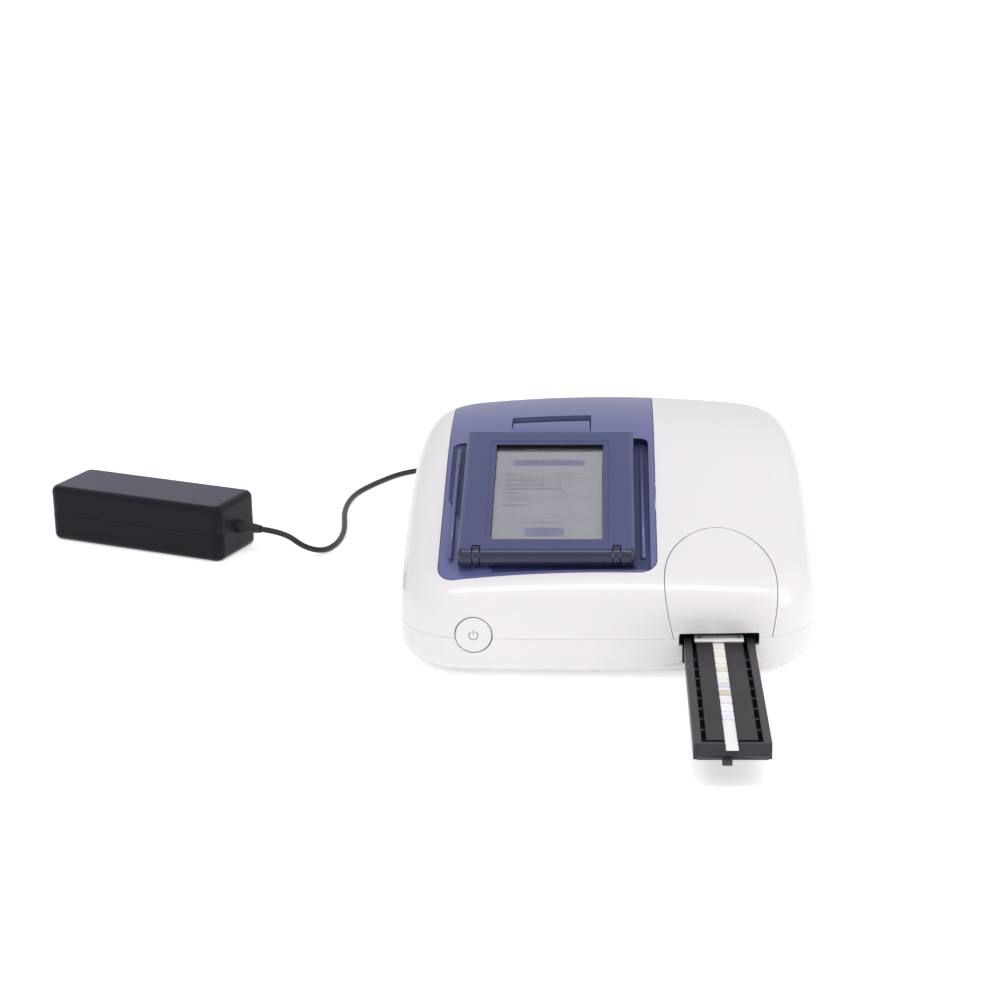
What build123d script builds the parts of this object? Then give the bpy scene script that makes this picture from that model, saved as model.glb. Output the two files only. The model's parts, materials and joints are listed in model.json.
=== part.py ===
from build123d import *
import math
import os

# A desktop urine strip analyser with its strip tray run out, its tilting display,
# its label printer inside, and its mains adapter on a lead.
# +Z is up, +Y is towards the back, and the origin lies under the middle of the
# analyser with its tray out. All sizes are in millimetres.

# ---------------------------------------------------------------- body form
body_width = 190.0         # over the bowed sides
body_depth = 180.0
side_bow = 1400.0          # radius of the bowed sides
widest_at = 60.0           # behind the front face
front_bow = 1200.0
back_bow = 1200.0
corner_radius = 32.0       # corners in plan
underside = 2.0            # the case's underside, on its feet
seam_height = 20.8         # joint between the two case halves
case_wall = 2.5
front_height = 44.0        # where the sloping top would meet the front face
deck_slope = 22.0          # degrees
slope_run = 84.0           # length of the straight slope, measured level
crest_radius = 160.0       # round of the top from front to back
crown_radius = 740.0       # round of the top from side to side
crown_half_angle = 10.0    # degrees of crown drawn each side
shoulder_radius = 21.0     # round between the top and the walls
lower_radius = 11.5        # round between the walls and the underside
panel_gap = 0.25           # visible joint between two panels
fit = 0.15                 # gap of a piece in its seat

# ---------------------------------------------------------------- tray
tray_x = 49.5              # middle of the tray lane
tray_reach = 114.0         # front of the pull tab, ahead of the front face
rail_reach = 108.0         # front end of the tray's rails
tray_travel = 106.0
carrier_width = 31.4
carrier_tail = 60.0        # rear end of the carrier, behind the front face
carrier_bottom = 13.0
carrier_floor = 2.0
carrier_top = 20.0
rail_width = 3.4
lane_gap = 0.35            # each side of the carrier in its guide
lane_wall = 1.5
mouth_width = 35.8         # opening in the case for the tray
mouth_sill = 9.0
mouth_step = 17.5          # the mouth is as wide as the rails below this level
mouth_top = 23.4
holder_width = 21.0
rib_pitch = 10.6
groove_depth = 1.0
strip_width = 5.0
strip_length = 117.0
strip_thickness = 0.35
strip_front = -112.0       # behind the front face
pad_count = 10
pad_pitch = 8.5
pad_length = 5.0
pad_thickness = 0.5
gear_module = 1.0
pinion_teeth = 16
tooth_reach = 0.8          # of a module, above and below the pitch line
tooth_share = 0.37         # of the tooth pitch, at the pitch line
pinion_behind = 50.0       # pinion axis, behind the front face
pinion_bottom = 9.6
pinion_height = 2.8
shaft_radius = 1.5
motor_radius = 13.0
motor_height = 17.0
bridge_bottom = 24.0       # underside of the motor bridge
bridge_thickness = 2.0
bridge_length = 20.0

# ---------------------------------------------------------------- deck and display
deck_left = -76.4
deck_right = 21.9
deck_front = 12.0          # behind the front face
deck_end = 172.0
deck_corner = 8.0
deck_wall = 2.4
display_x = -27.6
display_width = 79.6
display_length = 94.0      # along its slope
display_slope = 20.0       # degrees
display_thickness = 9.4
hinge_behind = 18.1        # hinge axis, behind the front face
hinge_height = 54.3
recess_width = 93.6
recess_front = 6.5         # ahead of the hinge axis
recess_gap = 0.5           # behind the display
recess_floor = 2.2
bezel_wall = 1.6
bezel_edge = 2.6           # round of the bezel's top edges
window_width = 50.6
window_length = 71.5
window_start = 6.7         # from the hinge axis, along the slope
glass_thickness = 1.1
lcd_thickness = 2.4
back_thickness = 1.8
ear_width = 3.0            # hinge knuckles of the deck
ear_spacing = 63.0
knuckle_gap = 0.3          # round a knuckle, and at each side of it
lug_width = 2.4            # bearing of a pin, at each side of a knuckle
pin_radius = 1.5

# ---------------------------------------------------------------- printer
paper_width = 37.0
slot_width = 38.5          # paper slot, and the tongue's slot ahead of it
slot_start = 60.0          # behind the front face
slot_end = 127.6
tongue_end = 121.2
tongue_thickness = 2.0
roll_radius = 15.0
core_radius = 6.0
roll_behind = 82.0
roll_height = 52.0
bucket_gap = 0.4
bucket_wall = 1.6
platen_behind = 116.2
platen_height = 79.6
platen_radius = 4.0
head_thickness = 3.0

# ---------------------------------------------------------------- inside and controls
button_inset = 35.1        # from the left side
button_height = 22.5
button_radius = 8.1
button_gap = 0.4
button_travel = 1.5
plunger_radius = 2.5
switch_behind = 17.0
board_left = -68.0
board_right = 27.0
board_start = 70.0
board_end = 170.0
board_height = 22.0
board_thickness = 1.6
port_height = 30.0         # middle of the rear connectors
jack_x = -42.0
foot_radius = 6.0
foot_height = 3.5
post_radius = 4.0
front_post_inset = 14.0    # from the case's sides
rear_post_inset = 13.0
side_plug_behind = 100.0   # plug in the left side, behind the front face
side_plug_height = 46.0
side_plug_length = 11.0
side_plug_width = 6.5
side_plug_proud = 0.8

# ---------------------------------------------------------------- adapter and lead
lead_diameter = 3.0
coil_x = -19.75
coil_behind = 101.0        # middle of the coil, behind the back
coil_outer = 24.0          # to the middle of the outermost turn
coil_pitch = 4.2           # from turn to turn, and from layer to layer
lower_half_turns = 7       # spiralling in; one more climbs to the upper layer
upper_half_turns = 6       # spiralling out again
coil_lift = 1.0            # room under the coil for its tie
adapter_end_x = -194.2     # middle of the end that the lead leaves
adapter_end_behind = -4.8  # behind the back
adapter_turn = -22.0       # degrees
adapter_length = 105.0
adapter_width = 37.0
adapter_height = 30.0
adapter_round = 3.5

front = (tray_reach - body_depth) / 2
back = front + body_depth
slope = math.radians(deck_slope)
slope_end_height = front_height + slope_run * math.tan(slope)
crest_height = slope_end_height + crest_radius * (1 - math.cos(slope))
crown_axis_z = crest_height - crown_radius
case_floor = underside + case_wall
button_x = button_inset - body_width / 2

os.makedirs("parts", exist_ok=True)


def body_form(inset):
    """The body as one solid, drawn in by an inset from the outer surface."""
    crown_angle = math.radians(crown_half_angle)
    crown_plane = Plane(
        origin=(0, 0, crown_axis_z),
        x_dir=(0, 1, 0),
        z_dir=(math.cos(crown_angle), 0, math.sin(crown_angle)),
    )
    bend_y = front + slope_run + inset * math.sin(slope)
    bend_r = slope_end_height - inset * math.cos(slope) - crown_axis_z
    with BuildPart() as form:
        with BuildSketch(Plane.XY.offset(underside + inset)) as plan:
            with Locations((0, front + front_bow)):
                Circle(front_bow - inset)
            with Locations((0, back - back_bow)):
                Circle(back_bow - inset, mode=Mode.INTERSECT)
            for side in (-1, 1):
                centre_x = side * (body_width / 2 - side_bow)
                turned = 90 * (1 + side)
                with Locations(Location((centre_x, front + widest_at, 0), (0, 0, turned))):
                    Circle(side_bow - inset, mode=Mode.INTERSECT)
            fillet(plan.vertices(), corner_radius - inset)
        extrude(amount=body_depth)
        with BuildSketch(crown_plane):
            with BuildLine():
                uphill = Line(
                    (bend_y - body_depth * math.cos(slope), bend_r - body_depth * math.sin(slope)),
                    (bend_y, bend_r),
                )
                crest = JernArc(uphill @ 1, uphill % 1, crest_radius - inset, -2 * deck_slope)
                below = bend_r - body_depth
                Polyline(
                    crest @ 1,
                    ((crest @ 1).X, below),
                    ((uphill @ 0).X, below),
                    uphill @ 0,
                )
            make_face()
        revolve(
            axis=Axis((0, 0, crown_axis_z), (0, 1, 0)),
            revolution_arc=2 * crown_half_angle,
            mode=Mode.INTERSECT,
        )
        rim = form.edges().filter_by(
            lambda edge: edge.bounding_box().min.Z > underside + inset + 1
            and edge.bounding_box().size.Y > 0.1
        )
        fillet(rim, shoulder_radius - inset)
        fillet(form.faces().sort_by(Axis.Z)[0].edges(), lower_radius - inset)
    return form.part


outer_form = body_form(0)
cavity_form = body_form(case_wall)
lane_half = carrier_width / 2 + lane_gap
lane_outer = lane_half + lane_wall
holder_front = -rail_reach + 4.0
pinion_radius = gear_module * pinion_teeth / 2
tooth_pitch = math.pi * gear_module
pinion_x = tray_x - lane_outer - shaft_radius - 0.6
display_top = display_thickness / 2
floor_level = -display_top - 0.05
back_level = -display_top + back_thickness
hinge_plane = Plane(
    origin=(display_x, front + hinge_behind, hinge_height),
    x_dir=(1, 0, 0),
    z_dir=(0, -math.sin(math.radians(display_slope)), math.cos(math.radians(display_slope))),
)
hinge_side = Plane(origin=hinge_plane.origin, x_dir=hinge_plane.y_dir, z_dir=(1, 0, 0))
display_rear = display_length - display_top
window_middle = window_start + window_length / 2
ear_places = [(-ear_spacing / 2, 0), (ear_spacing / 2, 0)]
ear_radius = display_top - 0.1
pin_length = ear_width + 2 * (knuckle_gap + lug_width)
post_places = [
    (side * (body_width / 2 - inset), front + behind)
    for side in (-1, 1)
    for inset, behind in ((front_post_inset, 32.0), (rear_post_inset, 154.0))
]
foot_places = [(x, front + s) for x in (-66.0, 66.0) for s in (24.0, 156.0)]
arch_plane = Plane(
    origin=(0, front, 0), x_dir=(1, 0, 0), z_dir=(0, -math.sqrt(0.5), math.sqrt(0.5))
)


# ================================================================ case
def deck_outline(gap):
    """The deck's outline in plan, widened by a gap; drawn as a tall cutter."""
    with BuildPart() as cutter:
        with BuildSketch(Plane.XY.offset(seam_height)) as plan:
            with Locations(((deck_left + deck_right) / 2, front + (deck_front + deck_end) / 2)):
                RectangleRounded(
                    deck_right - deck_left + 2 * gap,
                    deck_end - deck_front + 2 * gap,
                    deck_corner + gap,
                )
        extrude(amount=body_depth)
    return cutter.part


def arch_cutter(gap):
    """The tray bay cover's arched outline, seen square to the shoulder."""
    low = 12.0
    with BuildPart() as cutter:
        with BuildSketch(arch_plane):
            with BuildLine():
                arch = Spline(
                    (31.0 - gap, low),
                    (25.2 - gap, 38.0),
                    (32.2 - gap, 61.5 + gap),
                    (50.6, 71.8 + gap),
                    (68.4 + gap, 61.5 + gap),
                    (75.6 + gap, 38.0),
                    (71.5 + gap, low),
                )
                Line(arch @ 1, arch @ 0)
            make_face()
        extrude(amount=body_depth / 2, both=True)
        with Locations((tray_x, front, 0)):
            Box(
                body_width,
                2 * (tray_x + deck_front),
                body_depth,
                mode=Mode.INTERSECT,
            )
        split(bisect_by=Plane.XY.offset(seam_height - gap), keep=Keep.TOP)
    return cutter.part


def tray_mouth():
    """The opening in the front for the tray."""
    with BuildPart() as mouth:
        with BuildSketch(Plane.XZ.offset(-front + case_wall)):
            with Locations((tray_x, (mouth_sill + mouth_top) / 2)):
                RectangleRounded(carrier_width + 1.2, mouth_top - mouth_sill, 0.8)
            with Locations((tray_x, (mouth_step + mouth_top) / 2)):
                RectangleRounded(mouth_width, mouth_top - mouth_step, 0.8)
        extrude(amount=5 * case_wall, both=True)
    return mouth.part


def button_bore(radius):
    """A bore through the front wall for the power button."""
    with BuildPart() as bore:
        with BuildSketch(Plane.XZ.offset(-front + case_wall)):
            with Locations((button_x, button_height)):
                Circle(radius)
        extrude(amount=3 * case_wall, both=True)
    return bore.part


def screw_posts():
    """Screw posts at the case's four corners, trimmed to its outer surface."""
    with BuildPart() as posts:
        with BuildSketch(Plane.XY.offset(underside)):
            with Locations(post_places):
                Circle(post_radius)
        extrude(amount=body_depth)
        add(outer_form, mode=Mode.INTERSECT)
    return posts.part


port_window_width = 76.0
port_window_height = 15.0
port_window_x = -13.0
mouth_cutter = tray_mouth()
bore_cutter = button_bore(button_radius + button_gap)
post_form = screw_posts()
screw_seat = underside + 12.0

with BuildPart() as top_cover:
    add(outer_form)
    add(cavity_form, mode=Mode.SUBTRACT)
    add(post_form)
    split(bisect_by=Plane.XY.offset(seam_height), keep=Keep.TOP)
    add(deck_outline(panel_gap), mode=Mode.SUBTRACT)
    add(arch_cutter(panel_gap), mode=Mode.SUBTRACT)
    add(bore_cutter, mode=Mode.SUBTRACT)
    add(mouth_cutter, mode=Mode.SUBTRACT)
    with Locations((port_window_x, back, port_height)):
        Box(port_window_width, 8 * case_wall, port_window_height, mode=Mode.SUBTRACT)
    with Locations((-body_width / 2, front + side_plug_behind, side_plug_height)):
        Box(5 * case_wall, side_plug_length + 0.2, side_plug_width + 0.2, mode=Mode.SUBTRACT)
    with Locations(*[(x, y, seam_height) for x, y in post_places]):
        Cylinder(1.2, 24.0, mode=Mode.SUBTRACT)
top_cover.part.label = "top_cover"
export_step(top_cover.part, "parts/top_cover.step")

with BuildPart() as bottom_case:
    add(outer_form)
    add(cavity_form, mode=Mode.SUBTRACT)
    add(post_form)
    split(bisect_by=Plane.XY.offset(seam_height), keep=Keep.BOTTOM)
    add(bore_cutter, mode=Mode.SUBTRACT)
    add(mouth_cutter, mode=Mode.SUBTRACT)
    with Locations(*[(x, y, underside) for x, y in post_places]):
        Cylinder(3.1, 2 * (screw_seat - underside), mode=Mode.SUBTRACT)
        Cylinder(1.7, 2 * body_depth, mode=Mode.SUBTRACT)
    with Locations(*[(x, y, underside) for x, y in foot_places]):
        Cylinder(foot_radius + fit, 2 * (foot_height - underside), mode=Mode.SUBTRACT)
    with BuildSketch(Plane.XY.offset(case_floor)):
        with Locations(((board_left + board_right) / 2, front + (board_start + board_end) / 2)):
            with GridLocations(board_right - board_left - 10, board_end - board_start - 10, 2, 2):
                Circle(3.0)
    extrude(amount=board_height - case_floor)
bottom_case.part.label = "bottom_case"
export_step(bottom_case.part, "parts/bottom_case.step")

with BuildPart() as tray_bay_cover:
    add(outer_form)
    add(cavity_form, mode=Mode.SUBTRACT)
    add(arch_cutter(0), mode=Mode.INTERSECT)
    add(mouth_cutter, mode=Mode.SUBTRACT)
tray_bay_cover.part.label = "tray_bay_cover"
export_step(tray_bay_cover.part, "parts/tray_bay_cover.step")

with BuildPart() as rubber_feet:
    with BuildSketch(Plane.XY):
        with Locations(foot_places):
            Circle(foot_radius)
    extrude(amount=foot_height)
    fillet(rubber_feet.edges().group_by(Axis.Z)[0], 0.8)
rubber_feet.part.label = "rubber_feet"
export_step(rubber_feet.part, "parts/rubber_feet.step")

with BuildPart() as case_screws:
    with BuildSketch(Plane.XY.offset(screw_seat)):
        with Locations(post_places):
            Circle(1.1)
    extrude(amount=16.0)
    with BuildSketch(Plane.XY.offset(screw_seat - 1.8)):
        with Locations(post_places):
            Circle(2.8)
            RegularPolygon(1.2, 6, mode=Mode.SUBTRACT)
    extrude(amount=1.8)
case_screws.part.label = "case_screws"
export_step(case_screws.part, "parts/case_screws.step")

# ================================================================ deck
with BuildPart() as recess_form:
    with BuildSketch(hinge_plane.offset(floor_level)):
        with Locations((0, (display_rear + recess_gap - recess_front) / 2)):
            RectangleRounded(recess_width, display_rear + recess_gap + recess_front, 4.0)
    extrude(amount=body_depth)

with BuildPart() as recess_tub:
    with BuildSketch(hinge_plane.offset(floor_level - recess_floor)):
        with Locations((0, (display_rear + recess_gap - recess_front) / 2)):
            RectangleRounded(
                recess_width + 3.2, display_rear + recess_gap + recess_front + 2.4, 5.2
            )
    extrude(amount=body_depth)
    add(outer_form, mode=Mode.INTERSECT)
    add(deck_outline(0), mode=Mode.INTERSECT)

inner_deck = body_form(deck_wall)
with BuildPart() as blue_deck:
    add(outer_form)
    add(inner_deck, mode=Mode.SUBTRACT)
    add(deck_outline(0), mode=Mode.INTERSECT)
    add(recess_tub.part)
    add(recess_form.part, mode=Mode.SUBTRACT)
    with Locations((display_x, front + (slot_start + slot_end) / 2, body_depth / 2)):
        Box(slot_width, slot_end - slot_start, body_depth, mode=Mode.SUBTRACT)
    for ear_x, _ in ear_places:
        with BuildSketch(hinge_side.offset(ear_x - ear_width / 2)):
            Circle(ear_radius)
            with Locations((-1.0, (floor_level - recess_floor / 2) / 2)):
                Rectangle(4.0, recess_floor / 2 - floor_level)
            Circle(pin_radius, mode=Mode.SUBTRACT)
        extrude(amount=ear_width)
blue_deck.part.label = "blue_deck"
export_step(blue_deck.part, "parts/blue_deck.step")

# ================================================================ display unit
def display_form(inset):
    """The display unit's outer form, drawn in by an inset; its front is a full round."""
    with BuildPart() as form:
        with BuildSketch(hinge_side.offset(inset - display_width / 2)):
            with Locations((display_rear / 2 - inset / 2, 0)):
                Rectangle(display_rear - inset, display_thickness - 2 * inset)
            Circle(display_top - inset)
        extrude(amount=display_width - 2 * inset)
    return form.part


def ear_notches():
    """Room for the deck's hinge ears while the display swings."""
    with BuildPart() as notches:
        for ear_x, _ in ear_places:
            with BuildSketch(hinge_side.offset(ear_x - ear_width / 2 - knuckle_gap)):
                Circle(ear_radius + knuckle_gap)
            extrude(amount=ear_width + 2 * knuckle_gap)
    return notches.part


notch_form = ear_notches()
window_place = (0, window_middle)
seat_length = window_length + 3.0
seat_width = window_width + 2.0

lug_radius = pin_radius + 1.2
lug_offset = ear_width / 2 + knuckle_gap + lug_width / 2
lug_places = [ear_x + side * lug_offset for ear_x, _ in ear_places for side in (-1, 1)]

with BuildPart() as display_bezel:
    add(display_form(0))
    top_edges = display_bezel.faces().sort_by(Axis(hinge_plane.origin, hinge_plane.z_dir))[-1]
    side_edges = top_edges.edges().filter_by(
        lambda edge: abs(edge.center().X - display_x) > display_width / 4
    )
    rear_edge = top_edges.edges().sort_by(Axis.Y)[-1]
    fillet(list(side_edges) + [rear_edge], bezel_edge)
    split(bisect_by=hinge_plane.offset(back_level), keep=Keep.TOP)
    with BuildSketch(hinge_plane.offset(back_level)):
        with Locations((0, (display_rear - bezel_wall) / 2)):
            Rectangle(display_width - 2 * bezel_wall - 1.6, display_rear - bezel_wall - 1.0)
    extrude(amount=display_top - bezel_wall - back_level, mode=Mode.SUBTRACT)
    with BuildSketch(hinge_plane.offset(display_top - bezel_wall)):
        with Locations(window_place):
            RectangleRounded(window_width, window_length, 1.0)
    extrude(amount=2 * bezel_wall, mode=Mode.SUBTRACT)
    with BuildSketch(hinge_plane.offset(display_top - 0.6)):
        with Locations(window_place):
            RectangleRounded(window_width + 5.0, window_length + 4.4, 2.0)
    extrude(amount=bezel_wall, mode=Mode.SUBTRACT)
    add(notch_form, mode=Mode.SUBTRACT)
    for lug_x in lug_places:
        with BuildSketch(hinge_side.offset(lug_x - lug_width / 2)):
            Circle(lug_radius)
            with Locations((0, (display_top - bezel_wall) / 2)):
                Rectangle(2 * lug_radius, display_top - bezel_wall)
        extrude(amount=lug_width)
    for ear_x, _ in ear_places:
        with BuildSketch(hinge_side.offset(ear_x - pin_length / 2 - 0.5)):
            Circle(pin_radius + 0.08)
        extrude(amount=pin_length + 1.0, mode=Mode.SUBTRACT)
display_bezel.part.label = "display_bezel"
export_step(display_bezel.part, "parts/display_bezel.step")

glass_bottom = display_top - bezel_wall - glass_thickness
with BuildPart() as display_glass:
    with BuildSketch(hinge_plane.offset(glass_bottom)):
        with Locations(window_place):
            Rectangle(seat_width, seat_length)
    extrude(amount=glass_thickness)
display_glass.part.label = "display_glass"
export_step(display_glass.part, "parts/display_glass.step")

lcd_bottom = glass_bottom - lcd_thickness
with BuildPart() as lcd_panel:
    with BuildSketch(hinge_plane.offset(lcd_bottom)):
        with Locations(window_place):
            Rectangle(seat_width, seat_length)
    extrude(amount=lcd_thickness)
    chamfer(lcd_panel.edges().sort_by(Axis(hinge_plane.origin, hinge_plane.z_dir))[0:4], 0.4)
lcd_panel.part.label = "lcd_panel"
export_step(lcd_panel.part, "parts/lcd_panel.step")

display_board_thickness = 1.0
with BuildPart() as display_board:
    with BuildSketch(hinge_plane.offset(lcd_bottom - display_board_thickness)):
        with Locations((0, window_middle + 3.0)):
            Rectangle(seat_width + 6.0, seat_length - 6.0)
    extrude(amount=display_board_thickness)
    with BuildSketch(hinge_plane.offset(lcd_bottom - display_board_thickness)):
        with Locations((0, window_middle)):
            with GridLocations(16.0, 22.0, 3, 3):
                Rectangle(7.0, 5.0)
    extrude(amount=-0.9)
display_board.part.label = "display_board"
export_step(display_board.part, "parts/display_board.step")

tongue_front = 103.0
arm_top = crest_height - 3.6
with BuildPart() as tongue:
    add(body_form(fit))
    add(body_form(fit + tongue_thickness), mode=Mode.SUBTRACT)
    with Locations((display_x, front + (tongue_front + tongue_end) / 2, crest_height)):
        Box(slot_width - 1.0, tongue_end - tongue_front, crest_height, mode=Mode.INTERSECT)

with BuildPart() as display_back:
    add(display_form(0))
    split(bisect_by=hinge_plane.offset(back_level), keep=Keep.BOTTOM)
    with BuildSketch(hinge_plane.offset(floor_level + 0.05)):
        with Locations((0, display_rear + 3.0)):
            Rectangle(slot_width - 1.0, 12.0)
    extrude(amount=back_thickness)
    with BuildSketch(hinge_plane.offset(back_level - back_thickness / 2)):
        with Locations((0, display_rear + 4.3)):
            Rectangle(slot_width - 1.0, 4.0)
    extrude(amount=5.0)
    add(tongue.part)
    add(notch_form, mode=Mode.SUBTRACT)
    for side in (-1, 1):
        with BuildSketch(Plane.YZ.offset(display_x + side * (slot_width / 2 - 2.0) - 1.0)):
            with Locations((front + platen_behind, (platen_height - 1.0 + arm_top) / 2)):
                Rectangle(5.0, arm_top - platen_height + 1.0)
            with Locations((front + platen_behind, platen_height)):
                Circle(2.5)
                Circle(1.1, mode=Mode.SUBTRACT)
        extrude(amount=2.0)
display_back.part.label = "display_back"
export_step(display_back.part, "parts/display_back.step")

screw_places = [
    (side * (display_width / 2 - 6.0), along) for side in (-1, 1) for along in (12.0, 80.0)
]
with BuildPart() as display_screws:
    with BuildSketch(hinge_plane.offset(back_level)):
        with Locations(screw_places):
            Circle(1.0)
    extrude(amount=3.0)
    with BuildSketch(hinge_plane.offset(back_level)):
        with Locations(screw_places):
            Circle(1.9)
    extrude(amount=0.8)
display_screws.part.label = "display_screws"
export_step(display_screws.part, "parts/display_screws.step")

with BuildPart() as hinge_pins:
    for ear_x, _ in ear_places:
        with BuildSketch(hinge_side.offset(ear_x - pin_length / 2)):
            Circle(pin_radius)
        extrude(amount=pin_length)
hinge_pins.part.label = "hinge_pins"
export_step(hinge_pins.part, "parts/hinge_pins.step")

# ================================================================ printer
roll_plane = Plane.YZ.offset(display_x)
roll_centre = (front + roll_behind, roll_height)
bucket_inner = roll_radius + bucket_gap
bucket_length = paper_width + 1.4
deck_under = floor_level - recess_floor

with BuildPart() as paper_roll:
    with BuildSketch(roll_plane):
        with Locations(roll_centre):
            Circle(roll_radius)
            Circle(core_radius, mode=Mode.SUBTRACT)
    extrude(amount=paper_width / 2, both=True)
paper_roll.part.label = "paper_roll"
export_step(paper_roll.part, "parts/paper_roll.step")

with BuildPart() as roll_core:
    with BuildSketch(roll_plane):
        with Locations(roll_centre):
            Circle(core_radius)
            Circle(core_radius - 1.2, mode=Mode.SUBTRACT)
    extrude(amount=paper_width / 2, both=True)
roll_core.part.label = "roll_core"
export_step(roll_core.part, "parts/roll_core.step")

with BuildPart() as paper_bucket:
    with BuildSketch(roll_plane):
        with Locations(roll_centre):
            Circle(bucket_inner + bucket_wall)
        with Locations((roll_centre[0], roll_height + body_depth / 2)):
            Rectangle(2 * (bucket_inner + bucket_wall), body_depth)
    extrude(amount=bucket_length / 2 + bucket_wall, both=True)
    with BuildSketch(roll_plane):
        with Locations(roll_centre):
            Circle(bucket_inner)
        with Locations((roll_centre[0], roll_height + body_depth / 2)):
            Rectangle(2 * bucket_inner, body_depth)
    extrude(amount=bucket_length / 2, both=True, mode=Mode.SUBTRACT)
    split(bisect_by=hinge_plane.offset(deck_under), keep=Keep.BOTTOM)
paper_bucket.part.label = "paper_bucket"
export_step(paper_bucket.part, "parts/paper_bucket.step")

with BuildPart() as platen_shaft:
    with BuildSketch(roll_plane):
        with Locations((front + platen_behind, platen_height)):
            Circle(1.0)
    extrude(amount=slot_width / 2 - 1.0, both=True)
platen_shaft.part.label = "platen_shaft"
export_step(platen_shaft.part, "parts/platen_shaft.step")

with BuildPart() as platen_roller:
    with BuildSketch(roll_plane):
        with Locations((front + platen_behind, platen_height)):
            Circle(platen_radius)
            Circle(1.0, mode=Mode.SUBTRACT)
    extrude(amount=slot_width / 2 - 3.4, both=True)
platen_roller.part.label = "platen_roller"
export_step(platen_roller.part, "parts/platen_roller.step")

head_front = front + platen_behind + platen_radius + 0.3
head_top = platen_height + platen_radius
with BuildPart() as print_head:
    with BuildSketch(Plane.XY.offset(head_top - 12.0)):
        with Locations((display_x, head_front + head_thickness / 2)):
            Rectangle(slot_width + 6.0, head_thickness)
    extrude(amount=12.0)
    with BuildSketch(Plane.XY.offset(head_top - 12.0)):
        with Locations((display_x, head_front + head_thickness + 1.4)):
            with GridLocations(4.2, 1.0, 10, 1):
                Rectangle(1.2, 2.8)
    extrude(amount=7.0)
print_head.part.label = "print_head"
export_step(print_head.part, "parts/print_head.step")

board_top = board_height + board_thickness
with BuildPart() as printer_frame:
    with BuildSketch(Plane.XY.offset(board_top)):
        with Locations((display_x, head_front + head_thickness + 3.9)):
            Rectangle(slot_width + 10.0, 2.0)
        with Locations((display_x, head_front + head_thickness + 10.0)):
            Rectangle(slot_width + 10.0, 12.0)
            Rectangle(slot_width + 7.0, 12.0, mode=Mode.SUBTRACT)
    extrude(amount=crest_height - 9.0 - board_top)
    with BuildSketch(Plane.XY.offset(head_top - 14.0)):
        with Locations((display_x, head_front + 2.4)):
            Rectangle(slot_width + 10.0, 7.0)
    extrude(amount=2.0)
printer_frame.part.label = "printer_frame"
export_step(printer_frame.part, "parts/printer_frame.step")

with BuildPart() as feed_motor:
    with BuildSketch(Plane.YZ.offset(display_x - 8.0)):
        with Locations((head_front + head_thickness + 12.0, 52.0)):
            Circle(7.0)
    extrude(amount=16.0)
    with BuildSketch(Plane.YZ.offset(display_x - slot_width / 2 - 3.4)):
        with Locations((head_front + head_thickness + 12.0, 52.0)):
            Circle(1.0)
    extrude(amount=slot_width + 6.8)
feed_motor.part.label = "feed_motor"
export_step(feed_motor.part, "parts/feed_motor.step")

tear_front = front + slot_end - 0.9
with BuildPart() as tear_bar:
    with BuildSketch(Plane.XZ.offset(-tear_front)):
        with Locations((display_x, crest_height - 7.0)):
            Rectangle(slot_width - 0.6, 4.0)
        with Locations((display_x, crest_height - 5.0)):
            with GridLocations(1.8, 1.0, 20, 1):
                RegularPolygon(0.9, 3, rotation=90)
    extrude(amount=-0.6)
tear_bar.part.label = "tear_bar"
export_step(tear_bar.part, "parts/tear_bar.step")

# ================================================================ strip tray
carrier_floor_top = carrier_bottom + carrier_floor
holder_half = holder_width / 2
rail_inner = carrier_width / 2 - rail_width
rib_count = int((rail_reach - 14.0) / rib_pitch)
rib_middle = front - rail_reach / 2 - 1.0
slot_middle = (rail_inner + holder_half) / 2
block_width = 3.6
nub_x = tray_x - 2.4
nub_width = 4.0
plate_inset = 1.4
holder_top = carrier_top - 0.3
groove_floor = holder_top - groove_depth
strip_x = tray_x - 0.4

with BuildPart() as tray_carrier:
    with BuildSketch(Plane.XY.offset(carrier_bottom)):
        with Locations((tray_x, front + (carrier_tail - rail_reach) / 2)):
            Rectangle(carrier_width, carrier_tail + rail_reach)
    extrude(amount=carrier_top - carrier_bottom)
    with BuildSketch(Plane.XY.offset(carrier_floor_top)):
        with Locations((tray_x, front + carrier_tail / 2)):
            Rectangle(2 * rail_inner, carrier_tail + 2 * (rail_reach - 1.5))
    extrude(amount=carrier_top, mode=Mode.SUBTRACT)
    with BuildSketch(Plane.YZ.offset(tray_x - carrier_width / 2 + plate_inset)):
        with BuildLine():
            Polyline(
                (front - rail_reach, carrier_top),
                (front - rail_reach - 2.2, carrier_bottom + 2.4),
                (front - rail_reach - 0.6, carrier_bottom),
                (front - rail_reach, carrier_bottom),
                close=True,
            )
        make_face()
    extrude(amount=carrier_width - 2 * plate_inset)
    with Locations((nub_x, front - (tray_reach + rail_reach) / 2, carrier_bottom + 1.1)):
        Box(nub_width, tray_reach - rail_reach, 2.2)
    with BuildSketch(Plane.XY.offset(carrier_floor_top)):
        for side in (-1, 1):
            with Locations((tray_x + side * slot_middle, rib_middle)):
                with GridLocations(1.0, rib_pitch, 1, rib_count):
                    Rectangle(rail_inner - holder_half, 1.0)
    extrude(amount=carrier_top - carrier_floor_top - 1.2)
    with BuildSketch(Plane.XY.offset(carrier_floor_top)):
        for side in (-1, 1):
            with Locations((tray_x + side * (holder_half - block_width / 2), front + 3.6)):
                Rectangle(block_width, 7.2)
    extrude(amount=carrier_top - carrier_floor_top - 0.4)
    with BuildSketch(Plane.XY.offset(groove_floor)):
        with Locations((strip_x, front - rail_reach)):
            Rectangle(strip_width + 0.5, 10.0)
    extrude(amount=carrier_top, mode=Mode.SUBTRACT)
tray_carrier.part.label = "tray_carrier"
export_step(tray_carrier.part, "parts/tray_carrier.step")

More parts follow.
